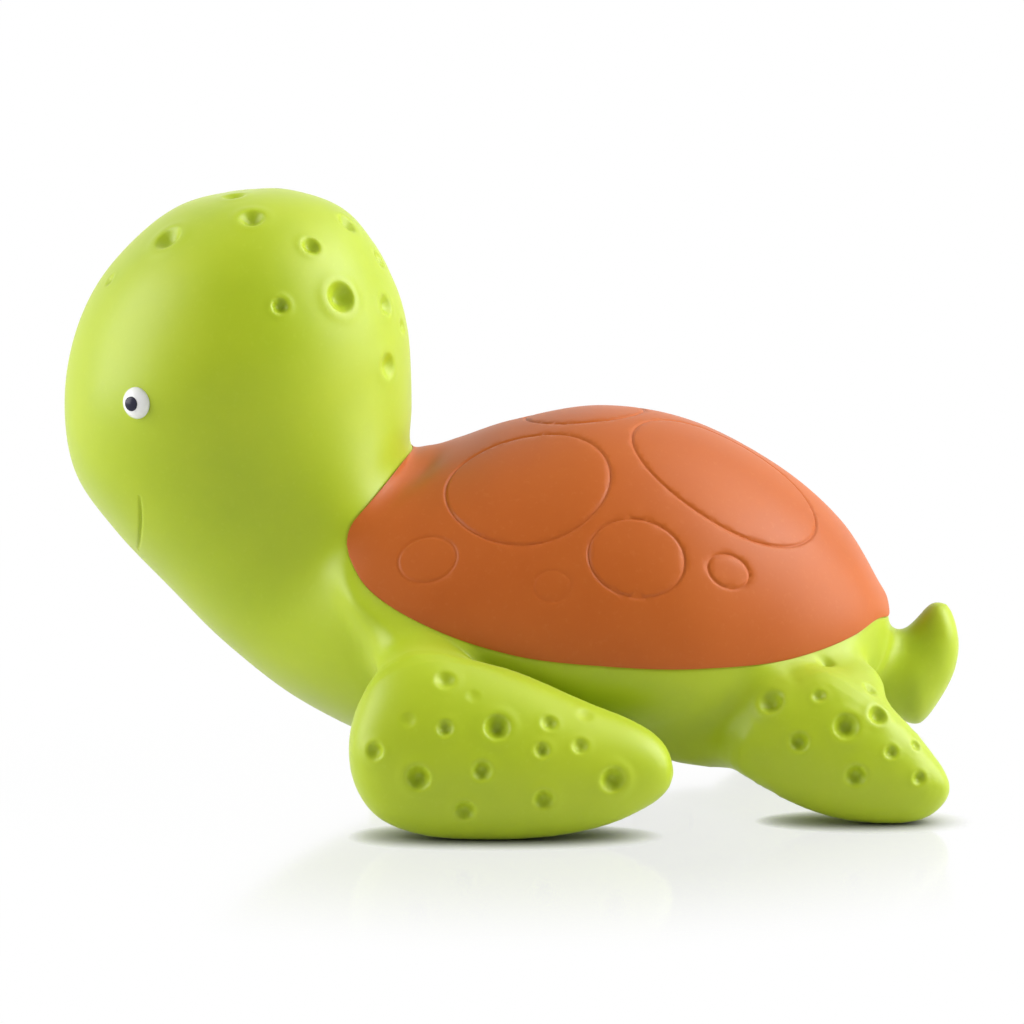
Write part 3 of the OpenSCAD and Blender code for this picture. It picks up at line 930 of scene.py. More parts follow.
FRONT_DIMPLES = (
    Dimple(445, 680, 1.4, 0.6), Dimple(473, 696, 1.0, 0.15), Dimple(445, 728, 1.15, 0.75),
    Dimple(497, 727, 1.75, 1.4), Dimple(549, 723, 1.1, 0.6), Dimple(542, 750, 1.05, 0.75),
    Dimple(580, 746, 1.1, 0.55), Dimple(585, 715, 1.2, 0.2), Dimple(375, 751, 1.2, 0.75),
    Dimple(408, 720, 1.1, 0.25), Dimple(418, 778, 1.7, 1.3), Dimple(482, 771, 1.35, 0.95),
    Dimple(465, 811, 1.4, 0.95), Dimple(544, 800, 1.4, 1.0), Dimple(613, 780, 1.7, 1.25))
REAR_DIMPLES = (
    Dimple(771, 702, 1.65, 1.2), Dimple(819, 696, 0.95, 0.5), Dimple(799, 742, 1.35, 1.0),
    Dimple(846, 726, 1.75, 1.4), Dimple(878, 715, 1.4, 1.0), Dimple(870, 689, 1.2, 0.5),
    Dimple(826, 664, 1.3, 0.5), Dimple(856, 776, 1.5, 1.1), Dimple(891, 752, 0.95, 0.6),
    Dimple(916, 745, 0.85, 0.45), Dimple(919, 778, 0.95, 0.6))
# Points of the ridge on the left shoulder, each with the ridge's height there
SHOULDER_RIDGE = (
    (-23.4, -20.8, 34.6, 0.0), (-22.1, -21.8, 32.0, 0.8), (-19.8, -23.3, 28.5, 2.0),
    (-16.6, -24.9, 25.3, 3.2), (-14.4, -26.0, 22.7, 4.0))
SHOULDER = (
    Lobe((-13.0, -21.0, 26.0), (-12.8, -33.0, 13.5), 4.7),
    Lobe((-11.5, -21.0, 24.0), (-8.5, -34.0, 13.0), 4.4))
HIP = (
    Lobe((31.5, -14.5, 17.0), (36.5, -30.0, 11.5), 5.2),
    Lobe((42.0, -12.0, 18.3), (44.7, -27.0, 12.0), 4.8),
    Lobe((13.0, -18.5, 10.6), (43.0, -23.5, 10.3), 4.6))


def front_flipper(side: Side) -> Flipper:
    """Front flipper with the sizes of the solid."""
    return Flipper(Pair.FRONT, side, length=40.8, height=25.2, thick=13.6, lead=-20.8, reach=33.5, lean=16,
                   shares=FRONT_SHARES, bend_start=(-9.0, -33.5, 12.0), bend_run=(24.0, 0.0, 0.0),
                   lobes=SHOULDER, dimples=FRONT_DIMPLES, gap_from=-14.0)


def rear_flipper(side: Side) -> Flipper:
    """Rear flipper with the sizes of the solid."""
    return Flipper(Pair.REAR, side, length=29.8, height=20.6, thick=11.0, lead=25.8, reach=25.5, lean=12,
                   shares=REAR_SHARES, bend_start=(39.0, -22.0, 15.0), bend_run=(11.0, -3.3, -5.5),
                   lobes=HIP, dimples=REAR_DIMPLES, gap_from=60.0)


@dataclass
class Tail:
    """Short tail that curls up behind the body."""

    length: float = 8.0
    height: float = 16.4
    width: float = 10.6
    start: float = 51.46
    lift: float = 7.65
    root: float = 5.0
    cut: float = 52.4
    bends_until: float = 56.5
    rows: int = 64
    columns: int = 56
    shares: ClassVar = (
        (0, 0.77, 0.02, 0.04, 1, 0.5), (0.13, 0.8, 0.36, 0, 0.98, 0.5), (0.26, 0.86, 0.7, 0.2, 0.86, 0.5),
        (0.42, 0.95, 0.96, 0.46, 0.74, 0.5), (0.6, 1.02, 1.01, 0.72, 0.54, 0.5),
        (0.85, 0.98, 0.85, 0.98, 0, 0.5))

    def form(self) -> BMesh:
        """Closed tail whose root reaches into the body.

        Returns:
            A bmesh of the tail.
        """
        ribs = ribs_of(self.shares, (self.start, self.lift), (self.length, self.height, self.width))
        first = ribs[0]
        inner = first._replace(top_x=first.top_x - self.root, low_x=first.low_x - self.root)
        middle = (inner.top_z + inner.low_z) / 2
        end = inner._replace(top_x=inner.top_x - self.root / 2, low_x=inner.low_x - self.root / 2,
                             top_z=middle, low_z=middle, half_width=0)
        return Loft([end, inner, *ribs]).closed(self.rows, self.columns)

    def dress(self, piece: bpy.types.Object) -> None:
        """Bake the tail's place into its skin, and let it stand for its solid.

        Args:
            piece: The tail's skin.
        """
        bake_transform(piece)
        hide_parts("tail")


class Owner(Enum):
    """Pieces that the fused skin is cut into."""

    TRUNK = 0
    HEAD = 1
    TAIL = 2
    FRONT_LEFT = 3
    FRONT_RIGHT = 4
    REAR_LEFT = 5
    REAR_RIGHT = 6


@dataclass
class RubberSkin:
    """One moulded rubber skin, fused from the forms and then cut into the pieces that move."""

    torso: Torso
    tail: Tail
    flippers: dict[Owner, Flipper]
    view: PhotoView
    # Fused skin: each fillet has a reach and a number of smoothing rounds
    voxel: float = 0.5
    relax_rounds: int = 8
    fillets: tuple[tuple[float, int], ...] = ((5.0, 30), (3.5, 40), (2.2, 40))
    tail_fillet: tuple[float, int] = (2.4, 30)
    sole_round: float = 0.6
    ridge_width: float = 2.3
    # Mouth line through pixels of the photograph, and the finer faces that it and the dimples need
    mouth: tuple[tuple[float, float], ...] = ((139.5, 495.0), (142.0, 523.0), (138.0, 550.0))
    mouth_depth: float = 0.3
    mouth_half_width: float = 0.23
    mouth_reach: float = 1.6
    mouth_rounds: int = 2
    dimple_reach: float = 4.0
    dimple_rounds: int = 1
    # Seat of the shell: how deep the skin lies under it, how high it may stand beside its rim, and the
    # spans over which that fades out
    ledge: float = 2.5
    rim_proud: float = 0.08
    rim_slope: float = 0.6
    rim_rise: float = 8.0
    rim_reach: float = 3.2
    rim_blend: float = 0.12
    rim_hold: tuple[float, float] = (2.5, 5.0)
    rim_draw: tuple[float, float] = (0.0, 1.6)
    rim_clear: tuple[float, float] = (0.1, 0.5)
    rim_spare: tuple[float, float] = (0.5, 1.5)
    rim_ends: tuple[float, float] = (49.6, 51.0)
    rim_soft: tuple[float, float] = (0.4, 4.5)
    rim_rounds: int = 8
    # Cut pieces: how far from a limb its skin is looked for, and how their edges lie under the skin
    limb_reach: float = 6.0
    seam_tuck: float = 1.6
    turn_in: float = 1.2
    head_dimples: ClassVar = (
        Dimple(168, 238, 2.1, 1.1), Dimple(252, 218, 1.8, 1.1), Dimple(234, 196, 1.6, 0.7),
        Dimple(311, 246, 1.35, 0.9), Dimple(347, 223, 1.7, 0.8), Dimple(341, 297, 2.2, 1.5),
        Dimple(280, 306, 1.15, 0.85), Dimple(110, 280, 1.0, 0.3), Dimple(386, 305, 1.6, 0.75),
        Dimple(379, 259, 1.5, 0.6), Dimple(388, 366, 1.8, 0.65), Dimple(402, 326, 1.2, 0.4))

    def __post_init__(self) -> None:
        """Make the forms and fuse them."""
        torso_form = self.torso.form()
        self.torso_tree = tree_of(torso_form)
        engraved(torso_form, self.ridge_marks(), self.ridge_width)
        self.limb_trees: dict[Owner, BVHTree] = {}
        trunk_forms = [torso_form]
        limb_forms = []
        creases = []
        for left, right in ((Owner.FRONT_LEFT, Owner.FRONT_RIGHT), (Owner.REAR_LEFT, Owner.REAR_RIGHT)):
            flipper = self.flippers[left]
            form = flipper.form(self.torso_tree)
            lobes = [lobe.form() for lobe in flipper.lobes]
            twins = [flipped_form(lobe) for lobe in lobes]
            for owner, limb, roots in ((left, form, lobes), (right, flipped_form(form), twins)):
                limb_forms.append(limb)
                trunk_forms += roots
                self.limb_trees[owner] = tree_of(limb)
                creases += self.crease(torso_form, self.torso_tree, self.limb_trees[owner])
                for root in roots:
                    creases += self.crease(root, tree_of(root), self.limb_trees[owner])
                    creases += self.crease(torso_form, self.torso_tree, tree_of(root))
        tail_form = self.tail.form()
        tail_crease = self.crease(torso_form, self.torso_tree, tree_of(tail_form))
        self.trunk_tree = tree_of(joined(trunk_forms))
        whole = joined([*trunk_forms, *limb_forms, tail_form])
        self.form = with_modifier(whole, "REMESH", mode="VOXEL", voxel_size=self.voxel)
        LOG.info("fused skin: %d vertices", len(self.form.verts))
        self.relax(point_finder(creases), point_finder(tail_crease))

    @staticmethod
    def ridge_marks() -> list[tuple[Vector, float]]:
        """Dense row of points along the ridge of each shoulder.

        Returns:
            The points, each with its depth, which is below zero because the ridge stands out.
        """
        steps = 24
        marks = []
        for first, second in zip(SHOULDER_RIDGE, SHOULDER_RIDGE[1:]):
            for step in range(steps):
                x, y, z, height = Vector(first).lerp(Vector(second), step / steps)
                point = Vector((x, y, z))
                marks += [(point, -height), (mirrored(point), -height)]
        return marks

    @staticmethod
    def crease(form: BMesh, tree: BVHTree, other: BVHTree) -> list[Vector]:
        """Middles of a form's faces that another form cuts through."""
        form.faces.ensure_lookup_table()
        return [form.faces[index].calc_center_median() for index, _ in tree.overlap(other)]

    def relax(self, creases: KDTree, tail_crease: KDTree) -> None:
        """Smooth the fused skin, and let it flow in wide fillets at the limbs and a tight one at the tail.

        Args:
            creases: Points where the limbs and their roots meet the body.
            tail_crease: Points where the tail meets it.
        """
        relaxed(self.form, self.form.verts, self.relax_rounds)
        fillets = [(creases, *fillet) for fillet in self.fillets]
        for finder, reach, rounds in (*fillets, (tail_crease, *self.tail_fillet)):
            zone = [vert for vert in self.form.verts if finder.find(vert.co)[2] < reach]
            relaxed(self.form, zone, rounds)
        for vert in self.form.verts:
            vert.co.z = (vert.co.z + math.hypot(vert.co.z, self.sole_round)) / 2
        lowest = min(vert.co.z for vert in self.form.verts)
        bmesh.ops.translate(self.form, vec=(0, 0, -lowest), verts=self.form.verts)

    def mark(self) -> None:
        """Sink the dimples and the mouth lines into the skin, on both sides."""
        tree = tree_of(self.form)
        spots = []
        for dimple in (*self.head_dimples, *self.flippers[Owner.FRONT_LEFT].dimples,
                       *self.flippers[Owner.REAR_LEFT].dimples):
            middle, normal = self.view.hit(tree, (dimple.across, dimple.down))
            spots.append((middle, normal, dimple))
            spots.append((mirrored(middle), mirrored(normal), dimple))
        lips = self.mouth_marks(tree)
        refined(self.form, [middle for middle, _, _ in spots], self.dimple_reach, self.dimple_rounds)
        refined(self.form, [point for point, _ in lips], self.mouth_reach, self.mouth_rounds)
        self.form.verts.ensure_lookup_table()
        finder = point_finder([vert.co for vert in self.form.verts])
        for middle, normal, dimple in spots:
            dimpled(self.form, finder, middle, normal, dimple)
        engraved(self.form, lips, self.mouth_half_width)

    def mouth_marks(self, tree: BVHTree) -> list[tuple[Vector, float]]:
        """Dense row of points along the mouth line of each side.

        Args:
            tree: The skin that the mouth lies on.

        Returns:
            The points, each with its depth, which runs out at both ends.
        """
        steps = 60
        (x0, y0), (x1, y1), (x2, y2) = self.mouth
        marks = []
        for step in range(steps + 1):
            share = step / steps
            rest = 1 - share
            across = x0 * rest ** 2 + 2 * x1 * rest * share + x2 * share ** 2
            down = y0 * rest ** 2 + 2 * y1 * rest * share + y2 * share ** 2
            point, _ = self.view.hit(tree, (across, down))
            depth = self.mouth_depth * math.sqrt(math.sin(math.pi * share))
            marks += [(point, depth), (mirrored(point), depth)]
        return marks

    def seat_shell(self, seat: BMesh) -> None:
        """Lay the skin to the shell: low along the shell's border, and drawn in under it.

        Args:
            seat: The part of the torso's own form that the shell covers.
        """
        soft = self.rim_blend
        steps = 12
        face = tree_of(seat)
        border = point_finder([edge.verts[0].co.lerp(edge.verts[1].co, step / steps)
                               for edge in seat.edges if edge.is_boundary for step in range(steps)])
        beside = []
        for vert in self.form.verts:
            foot, normal, _, _ = self.torso_tree.find_nearest(vert.co)
            # Distance from the shell's border, below zero outside it
            edge = border.find(foot)[2]
            inside = edge if face.find_nearest(foot)[3] < edge / 2 else -edge
            proud = (vert.co - foot).dot(normal)
            apart = max(0.0, -inside)
            hold = 1 - eased(math.hypot(apart, max(proud, 0.0)), *self.rim_hold)
            if hold == 0:
                continue
            # Beside the border, the skin stays under a limit that rises away from it
            limit = self.rim_proud + self.rim_slope * apart + self.rim_rise * (apart / self.rim_reach) ** 3
            low = min(proud, limit) - soft * math.log1p(math.exp(-abs(proud - limit) / soft))
            height = low + (-self.ledge - low) * eased(inside, *self.rim_draw)
            # Roots of the limbs that stand far above the limit are spared, and so is the rear end
            hold *= 1 - eased(proud - limit, *self.rim_spare) * eased(apart, *self.rim_clear)
            hold *= 1 - eased(vert.co.x, *self.rim_ends)
            vert.co = vert.co.lerp(foot + normal * height, hold)
            if self.rim_soft[0] < apart < self.rim_soft[1]:
                beside.append(vert)
        relaxed(self.form, beside, self.rim_rounds)

    def bore(self, cutter: BMesh) -> None:
        """Cut the seat of the belly panel out of the skin."""
        self.form = with_modifier(self.form, "BOOLEAN", cutter, operation="DIFFERENCE", solver="MANIFOLD")

    def cut(self) -> None:
        """Cut the skin at the neck and the tail, and find which piece each face belongs to."""
        neck = self.torso.throat - self.torso.neck_up * self.seam_tuck
        tail = Vector((self.tail.cut, 0, 0))
        for place, normal in ((neck, self.torso.neck_up), (tail, Vector((1, 0, 0)))):
            geometry = [*self.form.verts, *self.form.edges, *self.form.faces]
            bmesh.ops.bisect_plane(self.form, geom=geometry, dist=WELD, plane_co=place, plane_no=normal)
        self.form.normal_update()
        self.owners = [self.owner(face.calc_center_median()) for face in self.form.faces]
        layer = self.form.verts.layers.float_vector.new("skin_normal")
        for vert in self.form.verts:
            vert[layer] = vert.normal

    def owner(self, point: Vector) -> Owner:
        """Find which piece a part of the skin belongs to.

        Args:
            point: A point of the skin.

        Returns:
            The piece.
        """
        if self.torso.above_seam(point) > -self.seam_tuck:
            return Owner.HEAD
        if point.x > self.tail.cut and abs(point.y) < self.tail.width:
            return Owner.TAIL
        away = self.trunk_tree.find_nearest(point)[3]
        for owner, tree in self.limb_trees.items():
            found = tree.find_nearest(point, self.limb_reach)[3]
            if found is not None and found < away:
                return owner
        return Owner.TRUNK

    def piece(self, owner: Owner, name: str) -> tuple[bpy.types.Object, list[Vector]]:
        """Closed piece of the skin, whose cut edges keep the skin's own normals and turn in under the skin.

        Args:
            owner: Which piece.
            name: Its name.

        Returns:
            The piece, and the points of its cut edges.
        """
        form = self.form.copy()
        strange = [face for face, held in zip(form.faces, self.owners) if held is not owner]
        bmesh.ops.delete(form, geom=strange, context="FACES")
        edges = [edge for edge in form.edges if edge.is_boundary]
        border = {vert for edge in edges for vert in edge.verts}
        points = [vert.co.copy() for vert in border]
        layer = form.verts.layers.float_vector["skin_normal"]
        made = bmesh.ops.extrude_edge_only(form, edges=edges)["geom"]
        for vert in made:
            if isinstance(vert, bmesh.types.BMVert):
                vert.co -= Vector(vert[layer]) * self.turn_in
        bmesh.ops.holes_fill(form, edges=[edge for edge in form.edges if edge.is_boundary], sides=0)
        bmesh.ops.recalc_face_normals(form, faces=form.faces)
        normals = [Vector(vert[layer]) if vert in border else Vector() for vert in form.verts]
        form.verts.layers.float_vector.remove(layer)
        piece = finished(name, form, GREEN_RUBBER)
        piece.data.normals_split_custom_set_from_vertices(normals)
        return piece, points


class Oval(NamedTuple):
    """Oval line in the shell: the pixel of its middle, its half sizes, its tilt in degrees and its depth."""

    across: float
    down: float
    long: float
    short: float
    tilt: float
    depth: float = 0.22


@dataclass
class Shell:
    """Domed shell that is bonded to the lower body along its rim."""

    torso: Torso
    view: PhotoView
    proud: float = 0.15
    wall: float = 2.0
    edge_round: float = 0.3
    rows: int = 176
    columns: int = 124
    # Front border: how far its corners and its top are set back, in ribs, and over which share of the width
    corner_run: float = 0.42
    corner_share: float = 0.17
    top_run: float = 0.2
    top_share: float = 0.2
    # Lip along the front border and the valley behind it
    lip: float = 0.32
    lip_run: float = 0.7
    lip_place: float = 9.5
    lip_spread: float = 5.5
    valley: float = 0.9
    valley_place: float = 2.3
    valley_run: float = 1.3
    # Engraved lines, and the finer faces that they need
    line_half_width: float = 0.2
    line_reach: float = 0.8
    line_rounds: int = 2
    line_spacing: float = 0.12
    pole_weld: float = 0.02
    # Place along x, radius and depth of the round line on top
    top_oval: tuple[float, float, float] = (9.3, 7.9, 0.22)
    ovals: ClassVar = (
        Oval(527, 480, 10.7, 9.9, 0), Oval(731, 470, 13.5, 10.4, -22), Oval(637, 557, 6.2, 5.25, -12),
        Oval(729, 571, 2.9, 2.25, -12), Oval(427, 559, 3.8, 3.1, 8, 0.14), Oval(552, 586, 2.4, 2.0, 0, 0.08))

    def seat(self) -> BMesh:
        """Part of the torso's own form that the shell covers.

        Returns:
            A bmesh that is open along the shell's border.
        """
        form = bmesh.new()
        bmesh.ops.create_grid(form, x_segments=self.rows, y_segments=self.columns, size=1)
        loft = self.torso.loft
        length = loft.last - self.torso.seam_place
        for vert in form.verts:
            across = min(1.0, abs(vert.co.y))
            corner = max(0.0, 1 - (1 - across) / self.corner_share)
            front = self.corner_run * (1 - math.sqrt(1 - corner ** 2))
            front += self.top_run * bell(across, self.top_share)
            place = front + (vert.co.x + 1) / 2 * (length - front)
            vert.co = loft.rib(self.torso.seam_place + place).point(vert.co.y * math.pi / 2)
        bmesh.ops.remove_doubles(form, verts=form.verts, dist=self.pole_weld)
        bmesh.ops.recalc_face_normals(form, faces=form.faces)
        if sum(face.normal.z * face.calc_area() for face in form.faces) < 0:
            bmesh.ops.reverse_faces(form, faces=form.faces)
        return form

    def form(self) -> BMesh:
        """Closed dome with a rounded rim and engraved ovals.

        Returns:
            A bmesh of the shell.
        """
        form = self.seat()
        self.flare(form)
        bmesh.ops.solidify(form, geom=form.faces, thickness=self.wall)
        form.normal_update()
        bevelled(form, self.edge_round)
        self.engrave(form)
        return form

    def flare(self, form: BMesh) -> None:
        """Raise the dome over the lower body, with a lip and a valley along each side of the neck seam.

        Args:
            form: The dome's outer face.
        """
        form.normal_update()
        moves = []
        for vert in form.verts:
            behind = max(0.0, -self.torso.above_seam(vert.co))
            beside = bell(abs(vert.co.y) - self.lip_place, self.lip_spread)
            lift = self.proud + self.lip * bell(behind, self.lip_run) * beside
            lift -= self.valley * bell(behind - self.valley_place, self.valley_run) * beside
            moves.append((vert, vert.normal * lift))
        for vert, move in moves:
            vert.co += move

    def engrave(self, form: BMesh) -> None:
        """Cut the oval lines of both sides and of the top into the dome's outside.

        Args:
            form: The closed dome.
        """
        tree = tree_of(form)
        marks: list[tuple[Vector, float]] = []
        for oval in self.ovals:
            middle, normal = self.view.hit(tree, (oval.across, oval.down))
            tilt = math.radians(oval.tilt)
            for point in self.oval_points(tree, middle, normal, oval.long, oval.short, tilt):
                marks += [(point, oval.depth), (mirrored(point), oval.depth)]
        x, radius, depth = self.top_oval
        top, normal, _, _ = tree.ray_cast(Vector((x, 0, 2 * self.torso.height)), Vector((0, 0, -1)))
        marks += [(point, depth) for point in self.oval_points(tree, top, normal, radius, radius, 0)]
        refined(form, [point for point, _ in marks], self.line_reach, self.line_rounds)
        engraved(form, marks, self.line_half_width)

    def oval_points(self, tree: BVHTree, middle: Vector, normal: Vector, long: float, short: float,
                    tilt: float) -> list[Vector]:
        """Dense row of points along an oval that is laid on a surface.

        Args:
            tree: The surface.
            middle: Middle of the oval.
            normal: Direction out of the surface there.
            long: Half length.
            short: Half width.
            tilt: Turn of the long side about the normal.

        Returns:
            The points.
        """
        ahead = (Vector((1, 0, 0)) - normal * normal.x).normalized()
        aside = normal.cross(ahead)
        steps = int(math.pi * (long + short) / self.line_spacing)
        above = 12.0
        far = 3 * above
        points = []
        for step in range(steps):
            angle = math.tau * step / steps
            flat = Vector((long * math.cos(angle), short * math.sin(angle)))
            flat.rotate(Matrix.Rotation(tilt, 2))
            start = middle + ahead * flat.x + aside * flat.y + normal * above
            point, _, _, _ = tree.ray_cast(start, -normal, far)
            if point is not None:
                points.append(point)
        return points

    def build(self) -> None:
        """Make the shell, and let it ride on the trunk in place of its solid."""
        piece = finished("shell_skin", self.form(), ORANGE_RUBBER)
        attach(piece, "trunk")
        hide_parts("shell")


@dataclass
class Eye:
    """Raised white button with a navy pupil."""

    side: Side
    diameter: float = 4.1
    dome: float = 1.25
    seat: float = 1.0
    pupil_diameter: float = 1.9
    pupil_rise: float = 0.1
    edge_round: float = 0.1
    white_steps: int = 48
    pupil_steps: int = 36
    pixel: tuple[float, float] = (136.0, 403.0)

    def frame(self, tree: BVHTree, view: PhotoView) -> Matrix:
        """Place of the eye on the head's skin, with z out of the skin.

        Args:
            tree: The head's skin.
            view: The camera that the eye's pixel belongs to.

        Returns:
            The matrix that puts the eye there.
        """
        point, normal = view.hit(tree, self.pixel)
        if self.side is Side.RIGHT:
            point, normal = mirrored(point), mirrored(normal)
        return Matrix.Translation(point) @ normal.to_track_quat("Z", "Y").to_matrix().to_4x4()

    def cap(self, radius: float, lift: float, seat: float) -> list[tuple[float, float]]:
        """Profile of a part of the eye's dome.

        Args:
            radius: How far from the axis it reaches.
            lift: How far it is raised above the dome.
            seat: Height of its underside.

        Returns:
            Radius and height of each point, along the dome, down to the seat and back to the axis.
        """
        bulge = ((self.diameter / 2) ** 2 + self.dome ** 2) / (2 * self.dome)
        steps = 14
        arc = [radius * step / steps for step in range(steps + 1)]
        dome = [(r, self.dome - bulge + lift + math.sqrt(bulge ** 2 - r ** 2)) for r in arc]
        return [*dome, (radius, seat), (0, seat)]

    def build(self, tree: BVHTree, view: PhotoView) -> None:
        """Make the white and the pupil, and let them ride on the head in place of their solids.

        Args:
            tree: The head's skin.
            view: The camera that the eye's pixel belongs to.
        """
        place = self.frame(tree, view)
        side = self.side.name.lower()
        white = turned(self.cap(self.diameter / 2, 0.0, -self.seat), self.white_steps, place)
        pupil_cap = self.cap(self.pupil_diameter / 2, self.pupil_rise, self.dome / 2)
        pupil = turned(pupil_cap, self.pupil_steps, place)
        for form, finish, label in ((white, EYE_WHITE, "eye_white"), (pupil, PUPIL_NAVY, "pupil")):
            bevelled(form, self.edge_round)
            piece = finished(f"{label}_{side}_dome", form, finish)
            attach(piece, "head")
            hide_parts(f"{label}_{side}")


@dataclass
class Squeaker:
    """Belly panel that is pressed in, and the reed squeaker that it carries."""

    panel_x: float = 8.0
    panel_d: float = 31.4
    panel_bottom: float = 5.4
    panel_thick: float = 4.1
    lip: float = 2.6
    lip_thick: float = 1.5
    travel: float = 4.0
    play: float = 0.3
    case_d: float = 13.0
    case_height: float = 10.0
    flange_d: float = 16.4
    flange: float = 1.4
    cap_thick: float = 1.2
    sound_hole_d: float = 4.4
    case_wall: float = 1.1
    reed_ledge: float = 0.85
    snug: float = 0.05
    panel_round: float = 0.6
    hole_round: float = 0.3
    flange_round: float = 0.4
    steps: int = 96

    @property
    def place(self) -> Matrix:
        """Place of the squeaker's axis on the panel's underside."""
        return Matrix.Translation((self.panel_x, 0, self.panel_bottom))

    def seat_cutter(self) -> BMesh:
        """Stepped round room in the body that the panel and the squeaker move in.

        Returns:
            A bmesh of the room, to be cut out of the skin.
        """
        mouth = self.panel_d / 2 + self.play
        room = mouth + self.lip
        step = self.panel_thick - self.play
        lip_top = self.panel_thick + self.lip_thick + self.travel + self.play
        case_top = self.case_height + self.cap_thick + self.travel + 2 * self.play
        neck = self.case_d / 2 + 2 * self.play
        profile = [(0, -self.panel_bottom), (mouth, -self.panel_bottom), (mouth, step), (room, step),
                   (room, lip_top), (neck, lip_top), (neck, case_top), (0, case_top)]
        return turned(profile, self.steps, self.place)

    def build(self) -> None:
        """Make the panel and the case, and dress the small pieces inside."""
        edge = self.panel_round
        hole = self.case_d / 2 + self.snug
        recess = self.flange_d / 2 + self.snug
        outer = self.panel_d / 2
        lip_top = self.panel_thick + self.lip_thick
        panel = rounded([(recess, 0, 0), (outer, 0, edge), (outer, self.panel_thick, 0),
                         (outer + self.lip, self.panel_thick, edge), (outer + self.lip, lip_top, edge),
                         (hole, lip_top, 0), (hole, self.flange, 0), (recess, self.flange, 0),
                         (recess, 0, 0)])
        self.finish_round("belly_panel", panel, GREEN_RUBBER)
        bore = self.sound_hole_d / 2
        flange = self.flange_d / 2
        case_outer = self.case_d / 2
        inner = case_outer - self.case_wall
        ledge = inner - self.reed_ledge
        case = rounded([(bore, 0, self.hole_round), (flange, 0, self.flange_round), (flange, self.flange, 0),
                        (case_outer, self.flange, 0), (case_outer, self.case_height, 0),
                        (inner, self.case_height, 0), (inner, self.panel_thick, 0),
                        (ledge, self.panel_thick, 0), (ledge, self.flange, 0),
                        (bore, self.flange, 0), (bore, 0, 0)])
        # The ring closes on the first point of its rounded mouth
        case[-1] = case[0]
        self.finish_round("squeaker_case", case, SQUEAKER_PLASTIC)
        for node, finish in (("squeaker_reed_plate", SQUEAKER_PLASTIC), ("squeaker_cap", SQUEAKER_PLASTIC),
                             ("squeaker_reed", REED_BRASS)):
            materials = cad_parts[node].data.materials
            materials.clear()
            materials.append(finish.material())
            LOG.info("%s: dressed", node)

    def finish_round(self, node: str, profile: list[tuple[float, float]], finish: Finish) -> None:
        """Spin a ring-shaped piece, and let it ride on the belly in place of its solid.

        Args:
            node: The solid that it stands for.
            profile: Radius and height of each point of the ring's section.
            finish: Its finish.
        """
        piece = finished(f"{node}_turned", turned(profile, self.steps, self.place), finish)
        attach(piece, "belly")
        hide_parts(node)


@dataclass(frozen=True)
class SoftBox:
    """Large soft lamp that looks at the toy."""

    name: str
    place: tuple[float, float, float]
    size: tuple[float, float]
    power: float

    def build(self, aim: Vector) -> None:
        """Place the lamp.

        Args:
            aim: The point that it looks at.
        """
        data = bpy.data.lights.new(self.name, "AREA")
        data.shape = "RECTANGLE"
        data.size, data.size_y = self.size
        data.energy = self.power
        lamp = bpy.data.objects.new(self.name, data)
        lamp.location = self.place
        lamp.rotation_euler = (aim - Vector(self.place)).to_track_quat("-Z", "Y").to_euler()
        bpy.context.scene.collection.objects.link(lamp)


